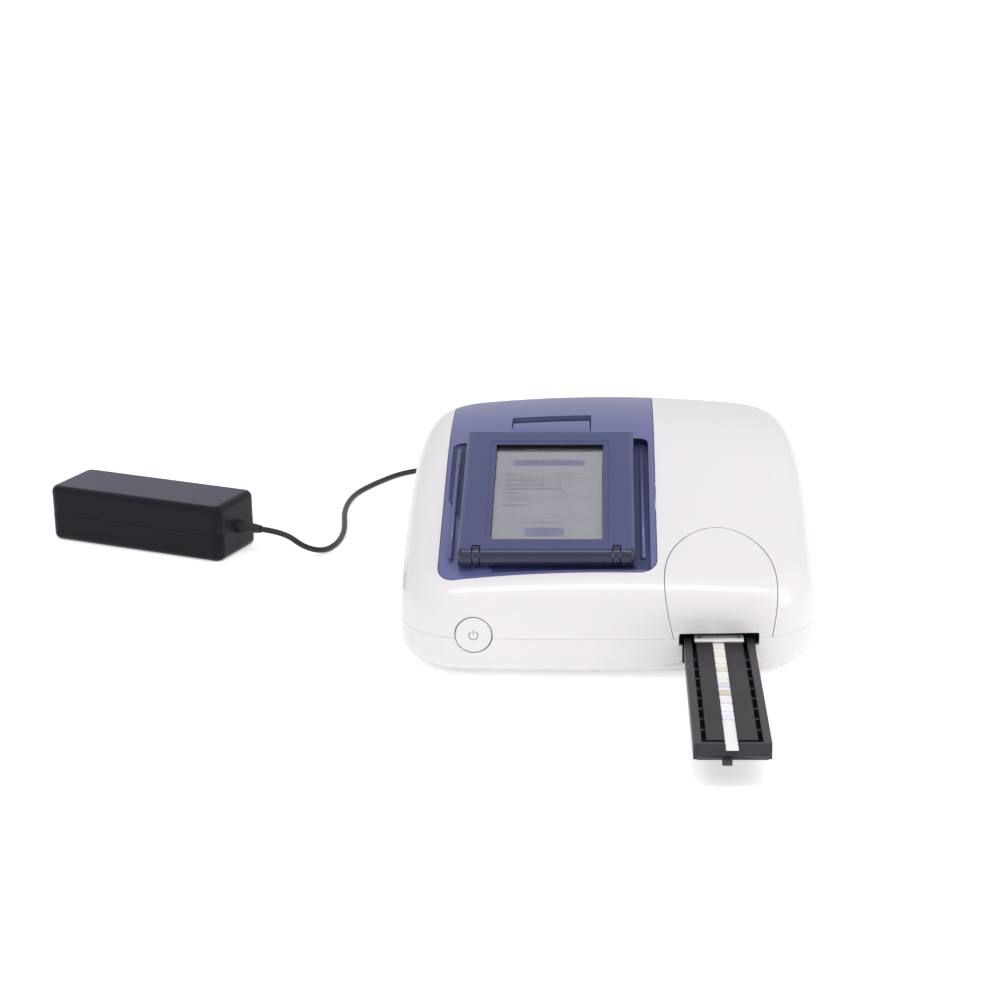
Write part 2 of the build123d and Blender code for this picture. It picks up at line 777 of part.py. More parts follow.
with BuildPart() as strip_holder:
    with BuildSketch(Plane.XY.offset(carrier_floor_top)):
        with Locations((tray_x, front + (holder_front - 0.6) / 2)):
            Rectangle(holder_width - 0.3, -holder_front - 0.6 - 0.2)
    extrude(amount=holder_top - carrier_floor_top)
    with BuildSketch(Plane.XY.offset(groove_floor)):
        with Locations((strip_x, front - rail_reach / 2)):
            Rectangle(strip_width + 0.5, 2 * rail_reach)
    extrude(amount=carrier_top, mode=Mode.SUBTRACT)
strip_holder.part.label = "strip_holder"
export_step(strip_holder.part, "parts/strip_holder.step")

with BuildPart() as test_strip:
    with BuildSketch(Plane.XY.offset(groove_floor)):
        with Locations((strip_x, front + strip_front + strip_length / 2)):
            Rectangle(strip_width, strip_length)
    extrude(amount=strip_thickness)
test_strip.part.label = "test_strip"
export_step(test_strip.part, "parts/test_strip.step")

with BuildPart() as reagent_pads:
    with BuildSketch(Plane.XY.offset(groove_floor + strip_thickness)):
        with Locations((strip_x, front - 4.6 - pad_pitch * (pad_count - 1) / 2)):
            with GridLocations(1.0, pad_pitch, 1, pad_count):
                Rectangle(strip_width, pad_length)
    extrude(amount=pad_thickness)
reagent_pads.part.label = "reagent_pads"
export_step(reagent_pads.part, "parts/reagent_pads.step")

with BuildPart() as reference_plate:
    with BuildSketch(Plane.XY.offset(carrier_top - 0.4)):
        with Locations((tray_x, front + 3.6)):
            Rectangle(holder_width + 1.0, 7.0)
    extrude(amount=1.0)
    chamfer(reference_plate.edges().group_by(Axis.Z)[-1], 0.3)
reference_plate.part.label = "reference_plate"
export_step(reference_plate.part, "parts/reference_plate.step")

pitch_line = pinion_x + pinion_radius
tooth_half = tooth_share * tooth_pitch / 2
tooth_flare = tooth_reach * math.tan(math.radians(20))
rack_teeth_ahead = int((pinion_behind + 62.0) / tooth_pitch)
rack_teeth_behind = int((carrier_tail - pinion_behind) / tooth_pitch)


def tooth_outline(root, tip):
    """One trapezoid tooth pointing along +X, from its root to its tip."""
    with BuildSketch() as tooth:
        with BuildLine():
            Polyline(
                (root, -tooth_half - tooth_flare),
                (tip, -tooth_half + tooth_flare),
                (tip, tooth_half - tooth_flare),
                (root, tooth_half + tooth_flare),
                close=True,
            )
        make_face()
    return tooth.sketch


rack_tooth = tooth_outline(-tooth_reach - 0.4, tooth_reach).rotate(Axis.Z, 180)
rack_root = pitch_line + tooth_reach + 0.25
with BuildPart() as tray_rack:
    with BuildSketch(Plane.XY.offset(pinion_bottom)):
        with Locations((rack_root + 1.5, front + (carrier_tail - 62.0) / 2)):
            Rectangle(3.0, carrier_tail + 62.0 + tooth_pitch)
        for number in range(-rack_teeth_ahead, rack_teeth_behind + 1):
            with Locations((pitch_line, front + pinion_behind + number * tooth_pitch)):
                add(rack_tooth)
    extrude(amount=carrier_bottom - pinion_bottom)
tray_rack.part.label = "tray_rack"
export_step(tray_rack.part, "parts/tray_rack.step")

pinion_tooth = tooth_outline(pinion_radius - tooth_reach - 0.4, pinion_radius + tooth_reach)
motor_bottom = bridge_bottom + bridge_thickness
with BuildPart() as drive_pinion:
    with BuildSketch(Plane.XY.offset(pinion_bottom)):
        with Locations((pinion_x, front + pinion_behind)):
            Circle(pinion_radius - tooth_reach - 0.25)
            with PolarLocations(0, pinion_teeth, start_angle=180 / pinion_teeth):
                add(pinion_tooth)
    extrude(amount=pinion_height)
    with BuildSketch(Plane.XY.offset(pinion_bottom)):
        with Locations((pinion_x, front + pinion_behind)):
            Circle(shaft_radius)
    extrude(amount=motor_bottom + 6.0 - pinion_bottom)
drive_pinion.part.label = "drive_pinion"
export_step(drive_pinion.part, "parts/drive_pinion.step")

with BuildPart() as drive_motor:
    with BuildSketch(Plane.XY.offset(motor_bottom)):
        with Locations((pinion_x, front + pinion_behind)):
            Circle(motor_radius)
            Circle(shaft_radius + 0.1, mode=Mode.SUBTRACT)
            with GridLocations(2 * motor_radius + 4.0, 1.0, 2, 1):
                SlotOverall(7.0, 5.0, rotation=90)
    extrude(amount=motor_height)
drive_motor.part.label = "drive_motor"
export_step(drive_motor.part, "parts/drive_motor.step")

bridge_left = pinion_x - motor_radius - 4.5
bridge_right = tray_x + lane_outer + 2.6
with BuildPart() as motor_bridge:
    with BuildSketch(Plane.XZ.offset(-front - pinion_behind - bridge_length / 2)):
        with Locations(((bridge_left + bridge_right) / 2, (case_floor + motor_bottom) / 2)):
            Rectangle(bridge_right - bridge_left, motor_bottom - case_floor)
        with Locations(((bridge_left + bridge_right) / 2, (case_floor + bridge_bottom) / 2)):
            Rectangle(
                bridge_right - bridge_left - 3.6, bridge_bottom - case_floor, mode=Mode.SUBTRACT
            )
    extrude(amount=bridge_length)
    with BuildSketch(Plane.XY.offset(bridge_bottom)):
        with Locations((pinion_x, front + pinion_behind)):
            Circle(shaft_radius + 0.4)
    extrude(amount=bridge_thickness, mode=Mode.SUBTRACT)
motor_bridge.part.label = "motor_bridge"
export_step(motor_bridge.part, "parts/motor_bridge.step")

guide_start = 18.0
guide_end = 160.0
wall_top = 21.6
with BuildPart() as tray_guide:
    with BuildSketch(Plane.XY.offset(case_floor)):
        with Locations((tray_x, front + (guide_start + guide_end) / 2)):
            Rectangle(2 * lane_outer, guide_end - guide_start)
    extrude(amount=1.5)
    with BuildSketch(Plane.XY.offset(case_floor)):
        with Locations((tray_x, front + (guide_start + guide_end) / 2)):
            with GridLocations(2 * lane_outer - lane_wall, 1.0, 2, 1):
                Rectangle(lane_wall, guide_end - guide_start)
    extrude(amount=wall_top - case_floor)
    with BuildSketch(Plane.XY.offset(case_floor)):
        for runner_x in (tray_x - 1.0, tray_x + 11.0):
            with Locations((runner_x, front + (guide_start + guide_end) / 2)):
                Rectangle(2.0, guide_end - guide_start)
    extrude(amount=carrier_bottom - 0.05 - case_floor)
    with Locations((pinion_x + 3.0, front + pinion_behind, pinion_bottom + pinion_height / 2)):
        Box(
            2 * pinion_radius + 4.0,
            2 * pinion_radius + 3.0,
            pinion_height + 1.6,
            mode=Mode.SUBTRACT,
        )
tray_guide.part.label = "tray_guide"
export_step(tray_guide.part, "parts/tray_guide.step")

# ================================================================ optics
optics_front = 12.0
optics_depth = 22.0
optics_top = 36.0
optics_y = front + optics_front + optics_depth / 2
with BuildPart() as optics_housing:
    with BuildSketch(Plane.XY.offset(wall_top)):
        with Locations((tray_x, optics_y)):
            Rectangle(2 * lane_outer, optics_depth)
    extrude(amount=2.0)
    with BuildSketch(Plane.XY.offset(wall_top + 2.0)):
        with Locations((tray_x, optics_y)):
            Rectangle(26.0, optics_depth - 2.0)
    extrude(amount=optics_top - wall_top - 2.0)
    with BuildSketch(Plane.XY.offset(wall_top)):
        with Locations((tray_x, optics_y)):
            Rectangle(10.0, 12.0)
    extrude(amount=optics_top, mode=Mode.SUBTRACT)
optics_housing.part.label = "optics_housing"
export_step(optics_housing.part, "parts/optics_housing.step")

with BuildPart() as optics_lens:
    with BuildSketch(Plane.XY.offset(optics_top - 8.0)):
        with Locations((tray_x, optics_y)):
            Rectangle(9.9, 11.9)
    extrude(amount=2.0)
    fillet(optics_lens.edges().filter_by(Axis.Z), 0.6)
optics_lens.part.label = "optics_lens"
export_step(optics_lens.part, "parts/optics_lens.step")

with BuildPart() as optics_board:
    with BuildSketch(Plane.XY.offset(optics_top)):
        with Locations((tray_x, optics_y)):
            Rectangle(24.0, optics_depth - 3.0)
    extrude(amount=1.2)
    with BuildSketch(Plane.XY.offset(optics_top)):
        with Locations((tray_x, optics_y)):
            with GridLocations(5.0, 8.0, 2, 2):
                Rectangle(2.0, 2.0)
    extrude(amount=-1.2)
    with BuildSketch(Plane.XY.offset(optics_top + 1.2)):
        with Locations((tray_x, optics_y)):
            Rectangle(10.0, 6.0)
    extrude(amount=3.0)
optics_board.part.label = "optics_board"
export_step(optics_board.part, "parts/optics_board.step")

# ================================================================ power button
button_plane = Plane.XZ.offset(-front)
cap_depth = 5.0
with BuildPart() as power_button:
    with BuildSketch(button_plane.offset(-1.0)):
        with Locations((button_x, button_height)):
            Circle(button_radius)
    extrude(amount=-cap_depth)
    fillet(power_button.edges().group_by(Axis.Y)[0], 0.8)
    with BuildSketch(button_plane.offset(-1.0 - cap_depth)):
        with Locations((button_x, button_height)):
            Circle(3.0)
    extrude(amount=-(switch_behind - 4.0 - 1.0 - cap_depth))
power_button.part.label = "power_button"
export_step(power_button.part, "parts/power_button.step")

plunger_front = front + switch_behind - 4.0
with BuildPart() as switch_plunger:
    with BuildSketch(Plane.XZ.offset(-plunger_front)):
        with Locations((button_x, button_height)):
            Circle(plunger_radius)
    extrude(amount=-7.0)
switch_plunger.part.label = "switch_plunger"
export_step(switch_plunger.part, "parts/switch_plunger.step")

with BuildPart() as power_switch:
    with BuildSketch(Plane.XZ.offset(-front - switch_behind)):
        with Locations((button_x, button_height)):
            RectangleRounded(12.0, 12.0, 1.0)
            Circle(plunger_radius + 0.1, mode=Mode.SUBTRACT)
    extrude(amount=-5.0)
    with BuildSketch(Plane.XZ.offset(-front - switch_behind - 5.0)):
        with Locations((button_x, button_height)):
            Rectangle(9.0, 9.0)
    extrude(amount=-2.0)
power_switch.part.label = "power_switch"
export_step(power_switch.part, "parts/power_switch.step")

switch_back = front + switch_behind + 7.0
with BuildPart() as switch_board:
    with BuildSketch(Plane.XZ.offset(-switch_back)):
        with Locations((button_x, (case_floor + button_height + 8.0) / 2)):
            Rectangle(20.0, button_height + 8.0 - case_floor)
    extrude(amount=-1.6)
switch_board.part.label = "switch_board"
export_step(switch_board.part, "parts/switch_board.step")

# ================================================================ main board and ports
board_x = (board_left + board_right) / 2
board_y = front + (board_start + board_end) / 2
with BuildPart() as main_board:
    with BuildSketch(Plane.XY.offset(board_height)):
        with Locations((board_x, board_y)):
            Rectangle(board_right - board_left, board_end - board_start)
    extrude(amount=board_thickness)
main_board.part.label = "main_board"
export_step(main_board.part, "parts/main_board.step")

with BuildPart() as board_parts:
    with BuildSketch(Plane.XY.offset(board_top)):
        with Locations((board_x - 22.0, board_y - 20.0)):
            Rectangle(14.0, 14.0)
        with Locations((board_x + 30.0, board_y - 26.0)):
            with GridLocations(12.0, 14.0, 2, 2):
                Rectangle(8.0, 6.0)
    extrude(amount=1.6)
    with BuildSketch(Plane.XY.offset(board_top)):
        with Locations((board_x + 34.0, board_y + 14.0)):
            with GridLocations(11.0, 12.0, 2, 2):
                Circle(3.2)
    extrude(amount=7.0)
board_parts.part.label = "board_parts"
export_step(board_parts.part, "parts/board_parts.step")

plate_depth = 1.4
plate_y = back - 5.2
port_plane = Plane.XZ.offset(-plate_y)
usb_x = -18.0
serial_x = 8.0
jack_radius = 3.6
with BuildPart() as port_plate:
    with BuildSketch(port_plane):
        with Locations((port_window_x, port_height)):
            Rectangle(port_window_width - 0.5, port_window_height - 0.5)
        with Locations((jack_x, port_height)):
            Circle(jack_radius, mode=Mode.SUBTRACT)
        with Locations((usb_x, (board_top + port_height + 5.4) / 2)):
            Rectangle(12.3, port_height + 5.8 - board_top, mode=Mode.SUBTRACT)
        with Locations((serial_x, port_height)):
            RectangleRounded(18.4, 9.4, 2.0, mode=Mode.SUBTRACT)
    extrude(amount=-plate_depth)
port_plate.part.label = "port_plate"
export_step(port_plate.part, "parts/port_plate.step")

with BuildPart() as dc_jack:
    with BuildSketch(port_plane):
        with Locations((jack_x, (board_top + port_height + 5.6) / 2)):
            Rectangle(9.6, port_height + 5.6 - board_top)
    extrude(amount=14.0)
    with BuildSketch(port_plane):
        with Locations((jack_x, port_height)):
            Circle(2.75 + fit)
            Circle(0.95, mode=Mode.SUBTRACT)
    extrude(amount=10.0, mode=Mode.SUBTRACT)
dc_jack.part.label = "dc_jack"
export_step(dc_jack.part, "parts/dc_jack.step")

with BuildPart() as usb_port:
    with BuildSketch(port_plane.offset(-plate_depth)):
        with Locations((usb_x, (board_top + port_height + 5.4) / 2)):
            Rectangle(12.0, port_height + 5.4 - board_top)
        with Locations((usb_x, port_height)):
            RectangleRounded(8.6, 7.8, 1.0, mode=Mode.SUBTRACT)
    extrude(amount=16.0)
    with BuildSketch(port_plane.offset(-plate_depth + 1.0)):
        with Locations((usb_x, port_height)):
            Rectangle(5.6, 3.2)
    extrude(amount=15.0)
    with BuildSketch(port_plane.offset(14.0)):
        with Locations((usb_x, port_height)):
            Rectangle(10.0, 9.0)
    extrude(amount=0.6)
usb_port.part.label = "usb_port"
export_step(usb_port.part, "parts/usb_port.step")

with BuildPart() as serial_port:
    with BuildSketch(port_plane.offset(0)):
        with Locations((serial_x, (board_top + port_height + 6.0) / 2)):
            Rectangle(30.8, port_height + 6.0 - board_top)
    extrude(amount=9.0)
    with BuildSketch(port_plane):
        with Locations((serial_x, port_height)):
            RectangleRounded(18.0, 9.0, 1.9)
    extrude(amount=-plate_depth - 3.2)
    with BuildSketch(port_plane.offset(-plate_depth - 3.2)):
        with Locations((serial_x, port_height + 1.4)):
            with GridLocations(2.8, 1.0, 5, 1):
                Circle(0.55)
        with Locations((serial_x, port_height - 1.4)):
            with GridLocations(2.8, 1.0, 4, 1):
                Circle(0.55)
    extrude(amount=4.0, mode=Mode.SUBTRACT)
serial_port.part.label = "serial_port"
export_step(serial_port.part, "parts/serial_port.step")

with BuildPart() as side_port_plug:
    with BuildSketch(Plane.YZ.offset(-body_width / 2 - side_plug_proud)):
        with Locations((front + side_plug_behind, side_plug_height)):
            RectangleRounded(side_plug_length, side_plug_width, 2.0)
    extrude(amount=side_plug_proud + 2 * case_wall)
    add(cavity_form, mode=Mode.SUBTRACT)
    fillet(side_port_plug.faces().sort_by(Axis.X)[0].edges(), 0.6)
side_port_plug.part.label = "side_port_plug"
export_step(side_port_plug.part, "parts/side_port_plug.step")

# ================================================================ lead
lead_radius = lead_diameter / 2
lead_level = lead_radius + 0.05
barrel_radius = 2.75
barrel_length = 9.5
plug_face = plate_y + plate_depth + 0.6
plug_length = 22.0
relief_length = 13.0
plug_end = plug_face + plug_length
lead_start = plug_end + relief_length

with BuildPart() as dc_plug:
    with BuildSketch(Plane.XZ.offset(-plug_face)):
        with Locations((jack_x, port_height)):
            Circle(4.8)
    extrude(amount=-plug_length)
    fillet(dc_plug.edges().filter_by(GeomType.CIRCLE), 0.7)
    with BuildSketch(Plane.XZ.offset(-plug_face)):
        with Locations((jack_x, port_height)):
            Circle(barrel_radius)
            Circle(1.1, mode=Mode.SUBTRACT)
    extrude(amount=barrel_length)
dc_plug.part.label = "dc_plug"
export_step(dc_plug.part, "parts/dc_plug.step")

with BuildPart() as plug_relief:
    with BuildSketch(Plane.XZ.offset(-plug_end)):
        with Locations((jack_x, port_height)):
            Circle(3.2)
    with BuildSketch(Plane.XZ.offset(-lead_start)):
        with Locations((jack_x, port_height)):
            Circle(lead_radius + 0.5)
    loft()
plug_relief.part.label = "plug_relief"
export_step(plug_relief.part, "parts/plug_relief.step")


def bend_radii(points):
    """A radius for each corner of a route: as large as its two runs allow."""
    radii = []
    for before, corner, after in zip(points, points[1:], points[2:]):
        run_in = Vector(*corner) - Vector(*before)
        run_out = Vector(*after) - Vector(*corner)
        half_turn = math.radians(run_in.get_angle(run_out)) / 2
        radii.append(0.45 * min(run_in.length, run_out.length) / math.tan(half_turn))
    return radii


def report_tube(name, part, length):
    """Print a tube's volume beside its section times its length."""
    expected = math.pi * lead_radius**2 * length
    print(f"{name}: length {length:.1f}, volume {part.volume:.0f} of {expected:.0f}")


# The coil's own plane: x towards the left, y towards the analyser.
coil_centre_y = back + coil_behind
coil_level = coil_lift + lead_radius
coil_plane = Plane(origin=(coil_x, coil_centre_y, 0), x_dir=(-1, 0, 0), z_dir=(0, 0, 1))


def half_turn(start_x, end_x, level, way):
    """A level half turn between two points on the coil's x axis."""
    middle = ((start_x + end_x) / 2, way * abs(start_x - end_x) / 2, level)
    return ThreePointArc((start_x, 0, level), middle, (end_x, 0, level))


with BuildPart() as lead_coil:
    with BuildLine(coil_plane) as coil_path:
        Line((coil_outer, -lead_diameter, coil_level), (coil_outer, 0, coil_level))
        side = 1
        radius = coil_outer
        for _ in range(lower_half_turns):
            tighter = radius - coil_pitch / 2
            half_turn(side * radius, -side * tighter, coil_level, side)
            side = -side
            radius = tighter
        upper_level = coil_level + coil_pitch
        climb_reach = math.hypot(2 * radius, coil_pitch) / 2
        ThreePointArc(
            (side * radius, 0, coil_level),
            (0, side * climb_reach, (coil_level + upper_level) / 2),
            (-side * radius, 0, upper_level),
        )
        side = -side
        for _ in range(upper_half_turns):
            wider = radius + coil_pitch / 2
            half_turn(side * radius, -side * wider, upper_level, side)
            side = -side
            radius = wider
        Line((side * radius, 0, upper_level), (side * radius, side * lead_diameter, upper_level))
    coil_wire = coil_path.wires()[0]
    with BuildSketch(Plane(origin=coil_wire @ 0, z_dir=coil_wire % 0)):
        Circle(lead_radius)
    sweep(path=coil_wire)
lead_coil.part.label = "lead_coil"
export_step(lead_coil.part, "parts/lead_coil.step")
report_tube("lead_coil", lead_coil.part, coil_wire.length)


def least_coil_gap(wire):
    """The least gap between turns: points over half a turn apart along the wire."""
    samples = 700
    points = [wire.position_at(number / samples) for number in range(samples + 1)]
    apart = int(samples * math.pi * coil_outer / 2 / wire.length)
    nearest = min(
        (points[first] - points[second]).length
        for first in range(samples + 1)
        for second in range(first + apart, samples + 1)
    )
    return nearest - lead_diameter


print(f"least gap in the coil: {least_coil_gap(coil_wire):.2f}")

tie_thickness = 0.7
tie_gap = 0.25
tie_inner = coil_outer - lower_half_turns * coil_pitch / 2 - lead_radius - 0.8
tie_outer = coil_outer - coil_pitch / 2 + lead_radius + tie_gap
tie_low = coil_lift - tie_gap
tie_high = coil_lift + coil_pitch + lead_diameter + tie_gap
with BuildPart() as coil_tie:
    with BuildSketch(Plane.XZ.offset(-coil_centre_y)):
        with Locations((coil_x + (tie_inner + tie_outer) / 2, (tie_low + tie_high) / 2)):
            RectangleRounded(
                tie_outer - tie_inner + 2 * tie_thickness,
                tie_high - tie_low + 2 * tie_thickness,
                1.5,
            )
            RectangleRounded(
                tie_outer - tie_inner, tie_high - tie_low, 0.8, mode=Mode.SUBTRACT
            )
    extrude(amount=2.5, both=True)
coil_tie.part.label = "coil_tie"
export_step(coil_tie.part, "parts/coil_tie.step")

# ================================================================ adapter
adapter_plane = Plane(
    origin=(adapter_end_x, back + adapter_end_behind, 0),
    x_dir=(math.cos(math.radians(adapter_turn)), math.sin(math.radians(adapter_turn)), 0),
    z_dir=(0, 0, 1),
)
adapter_end_plane = Plane(
    origin=adapter_plane.from_local_coords(Vector(0, 0, adapter_height / 2)),
    x_dir=adapter_plane.y_dir,
    z_dir=adapter_plane.x_dir,
)
adapter_relief_length = 14.0
adapter_lead_start = adapter_end_plane.from_local_coords(Vector(0, 0, adapter_relief_length))
adapter_first_bend = adapter_end_plane.from_local_coords(Vector(0, 0, 2 * adapter_relief_length))
inlet_width = 17.0
inlet_height = 10.0
inlet_depth = 12.0
adapter_split = adapter_height / 2
adapter_wall = 2.2


def adapter_form(inset):
    """The adapter's rounded block, drawn in by an inset."""
    with BuildPart() as block:
        with BuildSketch(adapter_plane.offset(inset)):
            with Locations((-adapter_length / 2, 0)):
                RectangleRounded(
                    adapter_length - 2 * inset,
                    adapter_width - 2 * inset,
                    adapter_round + 1.5 - inset,
                )
        extrude(amount=adapter_height - 2 * inset)
        fillet(block.edges().group_by(Axis.Z)[-1], adapter_round - inset)
        fillet(block.edges().group_by(Axis.Z)[0], adapter_round - inset)
    return block.part


adapter_outer = adapter_form(0)
adapter_cavity = adapter_form(adapter_wall)
with BuildPart() as lead_hole:
    with BuildSketch(adapter_end_plane.offset(-2 * adapter_wall)):
        Circle(2.9)
    extrude(amount=3 * adapter_wall)
with BuildPart() as inlet_hole:
    with BuildSketch(adapter_end_plane.offset(-adapter_length - adapter_wall)):
        SlotOverall(inlet_width + 2 * adapter_wall, inlet_height + 2 * adapter_wall)
    extrude(amount=3 * adapter_wall)

for name, kept in (("adapter_base", Keep.BOTTOM), ("adapter_lid", Keep.TOP)):
    with BuildPart() as adapter_half:
        add(adapter_outer)
        add(adapter_cavity, mode=Mode.SUBTRACT)
        add(lead_hole.part, mode=Mode.SUBTRACT)
        add(inlet_hole.part, mode=Mode.SUBTRACT)
        split(bisect_by=Plane.XY.offset(adapter_split), keep=kept)
    adapter_half.part.label = name
    export_step(adapter_half.part, f"parts/{name}.step")

with BuildPart() as adapter_relief:
    with BuildSketch(adapter_end_plane.offset(-adapter_wall - 1.5)):
        Circle(4.0)
    extrude(amount=1.4)
    with BuildSketch(adapter_end_plane.offset(-adapter_wall - 0.1)):
        Circle(2.8)
    extrude(amount=adapter_wall + 0.4)
    with BuildSketch(adapter_end_plane.offset(0.2)):
        Circle(3.6)
    with BuildSketch(adapter_end_plane.offset(adapter_relief_length)):
        Circle(lead_radius + 0.5)
    loft()
adapter_relief.part.label = "adapter_relief"
export_step(adapter_relief.part, "parts/adapter_relief.step")

inlet_plane = adapter_end_plane.offset(-adapter_length)
with BuildPart() as mains_inlet:
    with BuildSketch(inlet_plane):
        SlotOverall(inlet_width + 2 * adapter_wall - 0.3, inlet_height + 2 * adapter_wall - 0.3)
    extrude(amount=inlet_depth + 2.0)
    with BuildSketch(inlet_plane):
        SlotOverall(inlet_width, inlet_height)
    extrude(amount=inlet_depth, mode=Mode.SUBTRACT)
    with BuildSketch(inlet_plane.offset(2.0)):
        with GridLocations(8.6, 1.0, 2, 1):
            Circle(1.15)
    extrude(amount=inlet_depth - 1.0)
mains_inlet.part.label = "mains_inlet"
export_step(mains_inlet.part, "parts/mains_inlet.step")

with BuildPart() as adapter_board:
    with BuildSketch(adapter_plane.offset(adapter_wall)):
        with Locations((-adapter_length / 2 + 4.0, 0)):
            Rectangle(adapter_length - 34.0, adapter_width - 2 * adapter_wall - 3.0)
    extrude(amount=1.6)
    with BuildSketch(adapter_plane.offset(adapter_wall + 1.6)):
        with Locations((-adapter_length / 2 - 6.0, 0)):
            Rectangle(24.0, 22.0)
        with Locations((-adapter_length / 2 + 22.0, 0)):
            Circle(6.0)
        with Locations((-adapter_length / 2 - 26.0, 6.0), (-adapter_length / 2 - 26.0, -6.0)):
            Circle(4.5)
    extrude(amount=17.0)
adapter_board.part.label = "adapter_board"
export_step(adapter_board.part, "parts/adapter_board.step")

# ================================================================ free lead
# Routes run from a strain relief to the coil; y is measured behind the back.
coil_entry = coil_wire @ 0
coil_exit = coil_wire @ 1
plug_route = [
    (jack_x, lead_start - back, port_height),
    (jack_x, 44.0, port_height),
    (-42.8, 56.0, 19.5),
    (-43.6, 65.5, 8.0),
    (-43.2, 76.0, 2.4),
    (coil_exit.X, 87.5, coil_exit.Z),
    (coil_exit.X, coil_exit.Y - back, coil_exit.Z),
]
adapter_route = [
    (adapter_lead_start.X, adapter_lead_start.Y - back, adapter_lead_start.Z),
    (adapter_first_bend.X, adapter_first_bend.Y - back, adapter_first_bend.Z),
    (-158.8, -14.3, 6.5),
    (-149.5, -8.0, 2.0),
    (-144.0, 5.0, lead_level),
    (-142.5, 22.0, lead_level),
    (-144.0, 40.0, lead_level),
    (-146.5, 58.0, lead_level),
    (-146.5, 77.0, lead_level),
    (-143.5, 94.7, lead_level),
    (-133.5, 114.5, lead_level),
    (-121.0, 133.0, lead_level),
    (-103.0, 141.5, lead_level),
    (-84.0, 141.5, lead_level),
    (-66.0, 136.0, lead_level),
    (-52.5, 127.0, 1.7),
    (coil_entry.X, 115.5, coil_entry.Z),
    (coil_entry.X, coil_entry.Y - back, coil_entry.Z),
]

for name, route in (("plug_lead", plug_route), ("adapter_lead", adapter_route)):
    points = [(x, back + behind, z) for x, behind, z in route]
    radii = bend_radii(points)
    print(name, "radii", [round(radius, 1) for radius in radii])
    with BuildPart() as lead:
        with BuildLine() as lead_path:
            FilletPolyline(*points, radius=radii)
        lead_wire = lead_path.wires()[0]
        with BuildSketch(Plane(origin=lead_wire @ 0, z_dir=lead_wire % 0)):
            Circle(lead_radius)
        sweep(path=lead_wire)
    lead.part.label = name
    export_step(lead.part, f"parts/{name}.step")
    report_tube(name, lead.part, lead_wire.length)
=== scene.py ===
import json
import math

import bmesh
import bpy
from bpy.props import (
    FloatProperty,
    FloatVectorProperty,
    IntProperty,
    PointerProperty,
)
from mathutils import Matrix, Vector


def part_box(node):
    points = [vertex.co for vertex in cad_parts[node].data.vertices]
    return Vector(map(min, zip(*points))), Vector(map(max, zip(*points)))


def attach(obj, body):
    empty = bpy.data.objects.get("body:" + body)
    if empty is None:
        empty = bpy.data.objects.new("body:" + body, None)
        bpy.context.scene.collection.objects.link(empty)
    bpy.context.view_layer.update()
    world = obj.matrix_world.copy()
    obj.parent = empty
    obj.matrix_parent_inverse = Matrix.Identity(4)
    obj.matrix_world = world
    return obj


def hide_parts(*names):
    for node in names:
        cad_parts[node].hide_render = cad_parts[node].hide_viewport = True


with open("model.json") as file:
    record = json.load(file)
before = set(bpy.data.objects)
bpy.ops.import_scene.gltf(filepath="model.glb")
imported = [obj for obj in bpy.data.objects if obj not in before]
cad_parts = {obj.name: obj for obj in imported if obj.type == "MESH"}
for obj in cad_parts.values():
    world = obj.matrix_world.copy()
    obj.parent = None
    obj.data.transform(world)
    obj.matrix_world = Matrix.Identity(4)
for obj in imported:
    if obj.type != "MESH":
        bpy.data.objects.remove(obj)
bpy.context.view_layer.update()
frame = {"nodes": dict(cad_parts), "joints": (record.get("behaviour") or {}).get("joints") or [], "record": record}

bl_info = {
    "name": "Urine strip analyzer",
    "version": (1, 0, 0),
    "blender": (4, 5, 0),
    "location": "3D View > Sidebar > Analyzer",
    "description": "Dresses the packed analyzer: case, screen, tray, adapter, lead and stage",
    "category": "Object",
}

MM = 0.001
JOINTS = {joint["name"]: joint for joint in frame["joints"]}
SLOTS = {entry["node"]: entry["material_slot"] for entry in frame["record"]["subparts"]}
BODY_OF = {
    node: body
    for body, nodes in frame["record"]["behaviour"]["bodies"].items()
    for node in nodes
}


# ---------------------------------------------------------------- colours
def linear(code):
    """An sRGB hex colour as linear RGBA."""
    parts = [int(code[at:at + 2], 16) / 255 for at in (1, 3, 5)]
    return tuple(
        part / 12.92 if part <= 0.04045 else ((part + 0.055) / 1.055) ** 2.4 for part in parts
    ) + (1.0,)


PEARL_WHITE = linear("#E6E3E6")
PEARL_EDGE = linear("#E2DCF8")
DECK_BLUE = linear("#666C9E")
BEZEL_BLUE = linear("#434B78")
PAINTED_SHADE_WELL_BLUE = linear("#1C2347")
PAINTED_SHADE_GROOVE_BLUE = linear("#343B66")
PAINTED_SHADE_FRONT_BLUE = linear("#151D40")
SCREEN_GREY = linear("#8C8E95")
SCREEN_INK = linear("#50505F")
SCREEN_BAR = linear("#66668A")
SCREEN_BLACK = linear("#121216")
TRAY_GREY = linear("#2C2C35")
HOLDER_GREY = linear("#1E1E26")
ADAPTER_GREY = linear("#16161C")
LEAD_BLACK = linear("#121215")
ICON_INK = linear("#8A8A98")
PAD_TONES = [
    "#E8E7F1", "#F0EFF4", "#EAEAF0", "#D9CCBB", "#D8DBEB",
    "#F0EDE8", "#E3DBCF", "#EEEAE4", "#EAE5DA", "#EDE8DC",
]


# ---------------------------------------------------------------- nodes
# Places of sockets that share their name with others on the same node: those of a colour Mix
# and of a float Random Value.
MIX_A, MIX_B, MIX_RESULT = 6, 7, 2
RANDOM_MIN, RANDOM_MAX, RANDOM_FLOAT = 2, 3, 1
CLOUD_SIZE = 40 * MM        # of the faint mottling on a moulded surface
GLOSS_SPREAD = 0.12         # share by which the roughness of a moulded surface varies
METAL_GLOSS_SPREAD = 0.3
METAL_LINE_SCALE = 0.04     # scale of the noise along a metal's lines; it is 1 across them


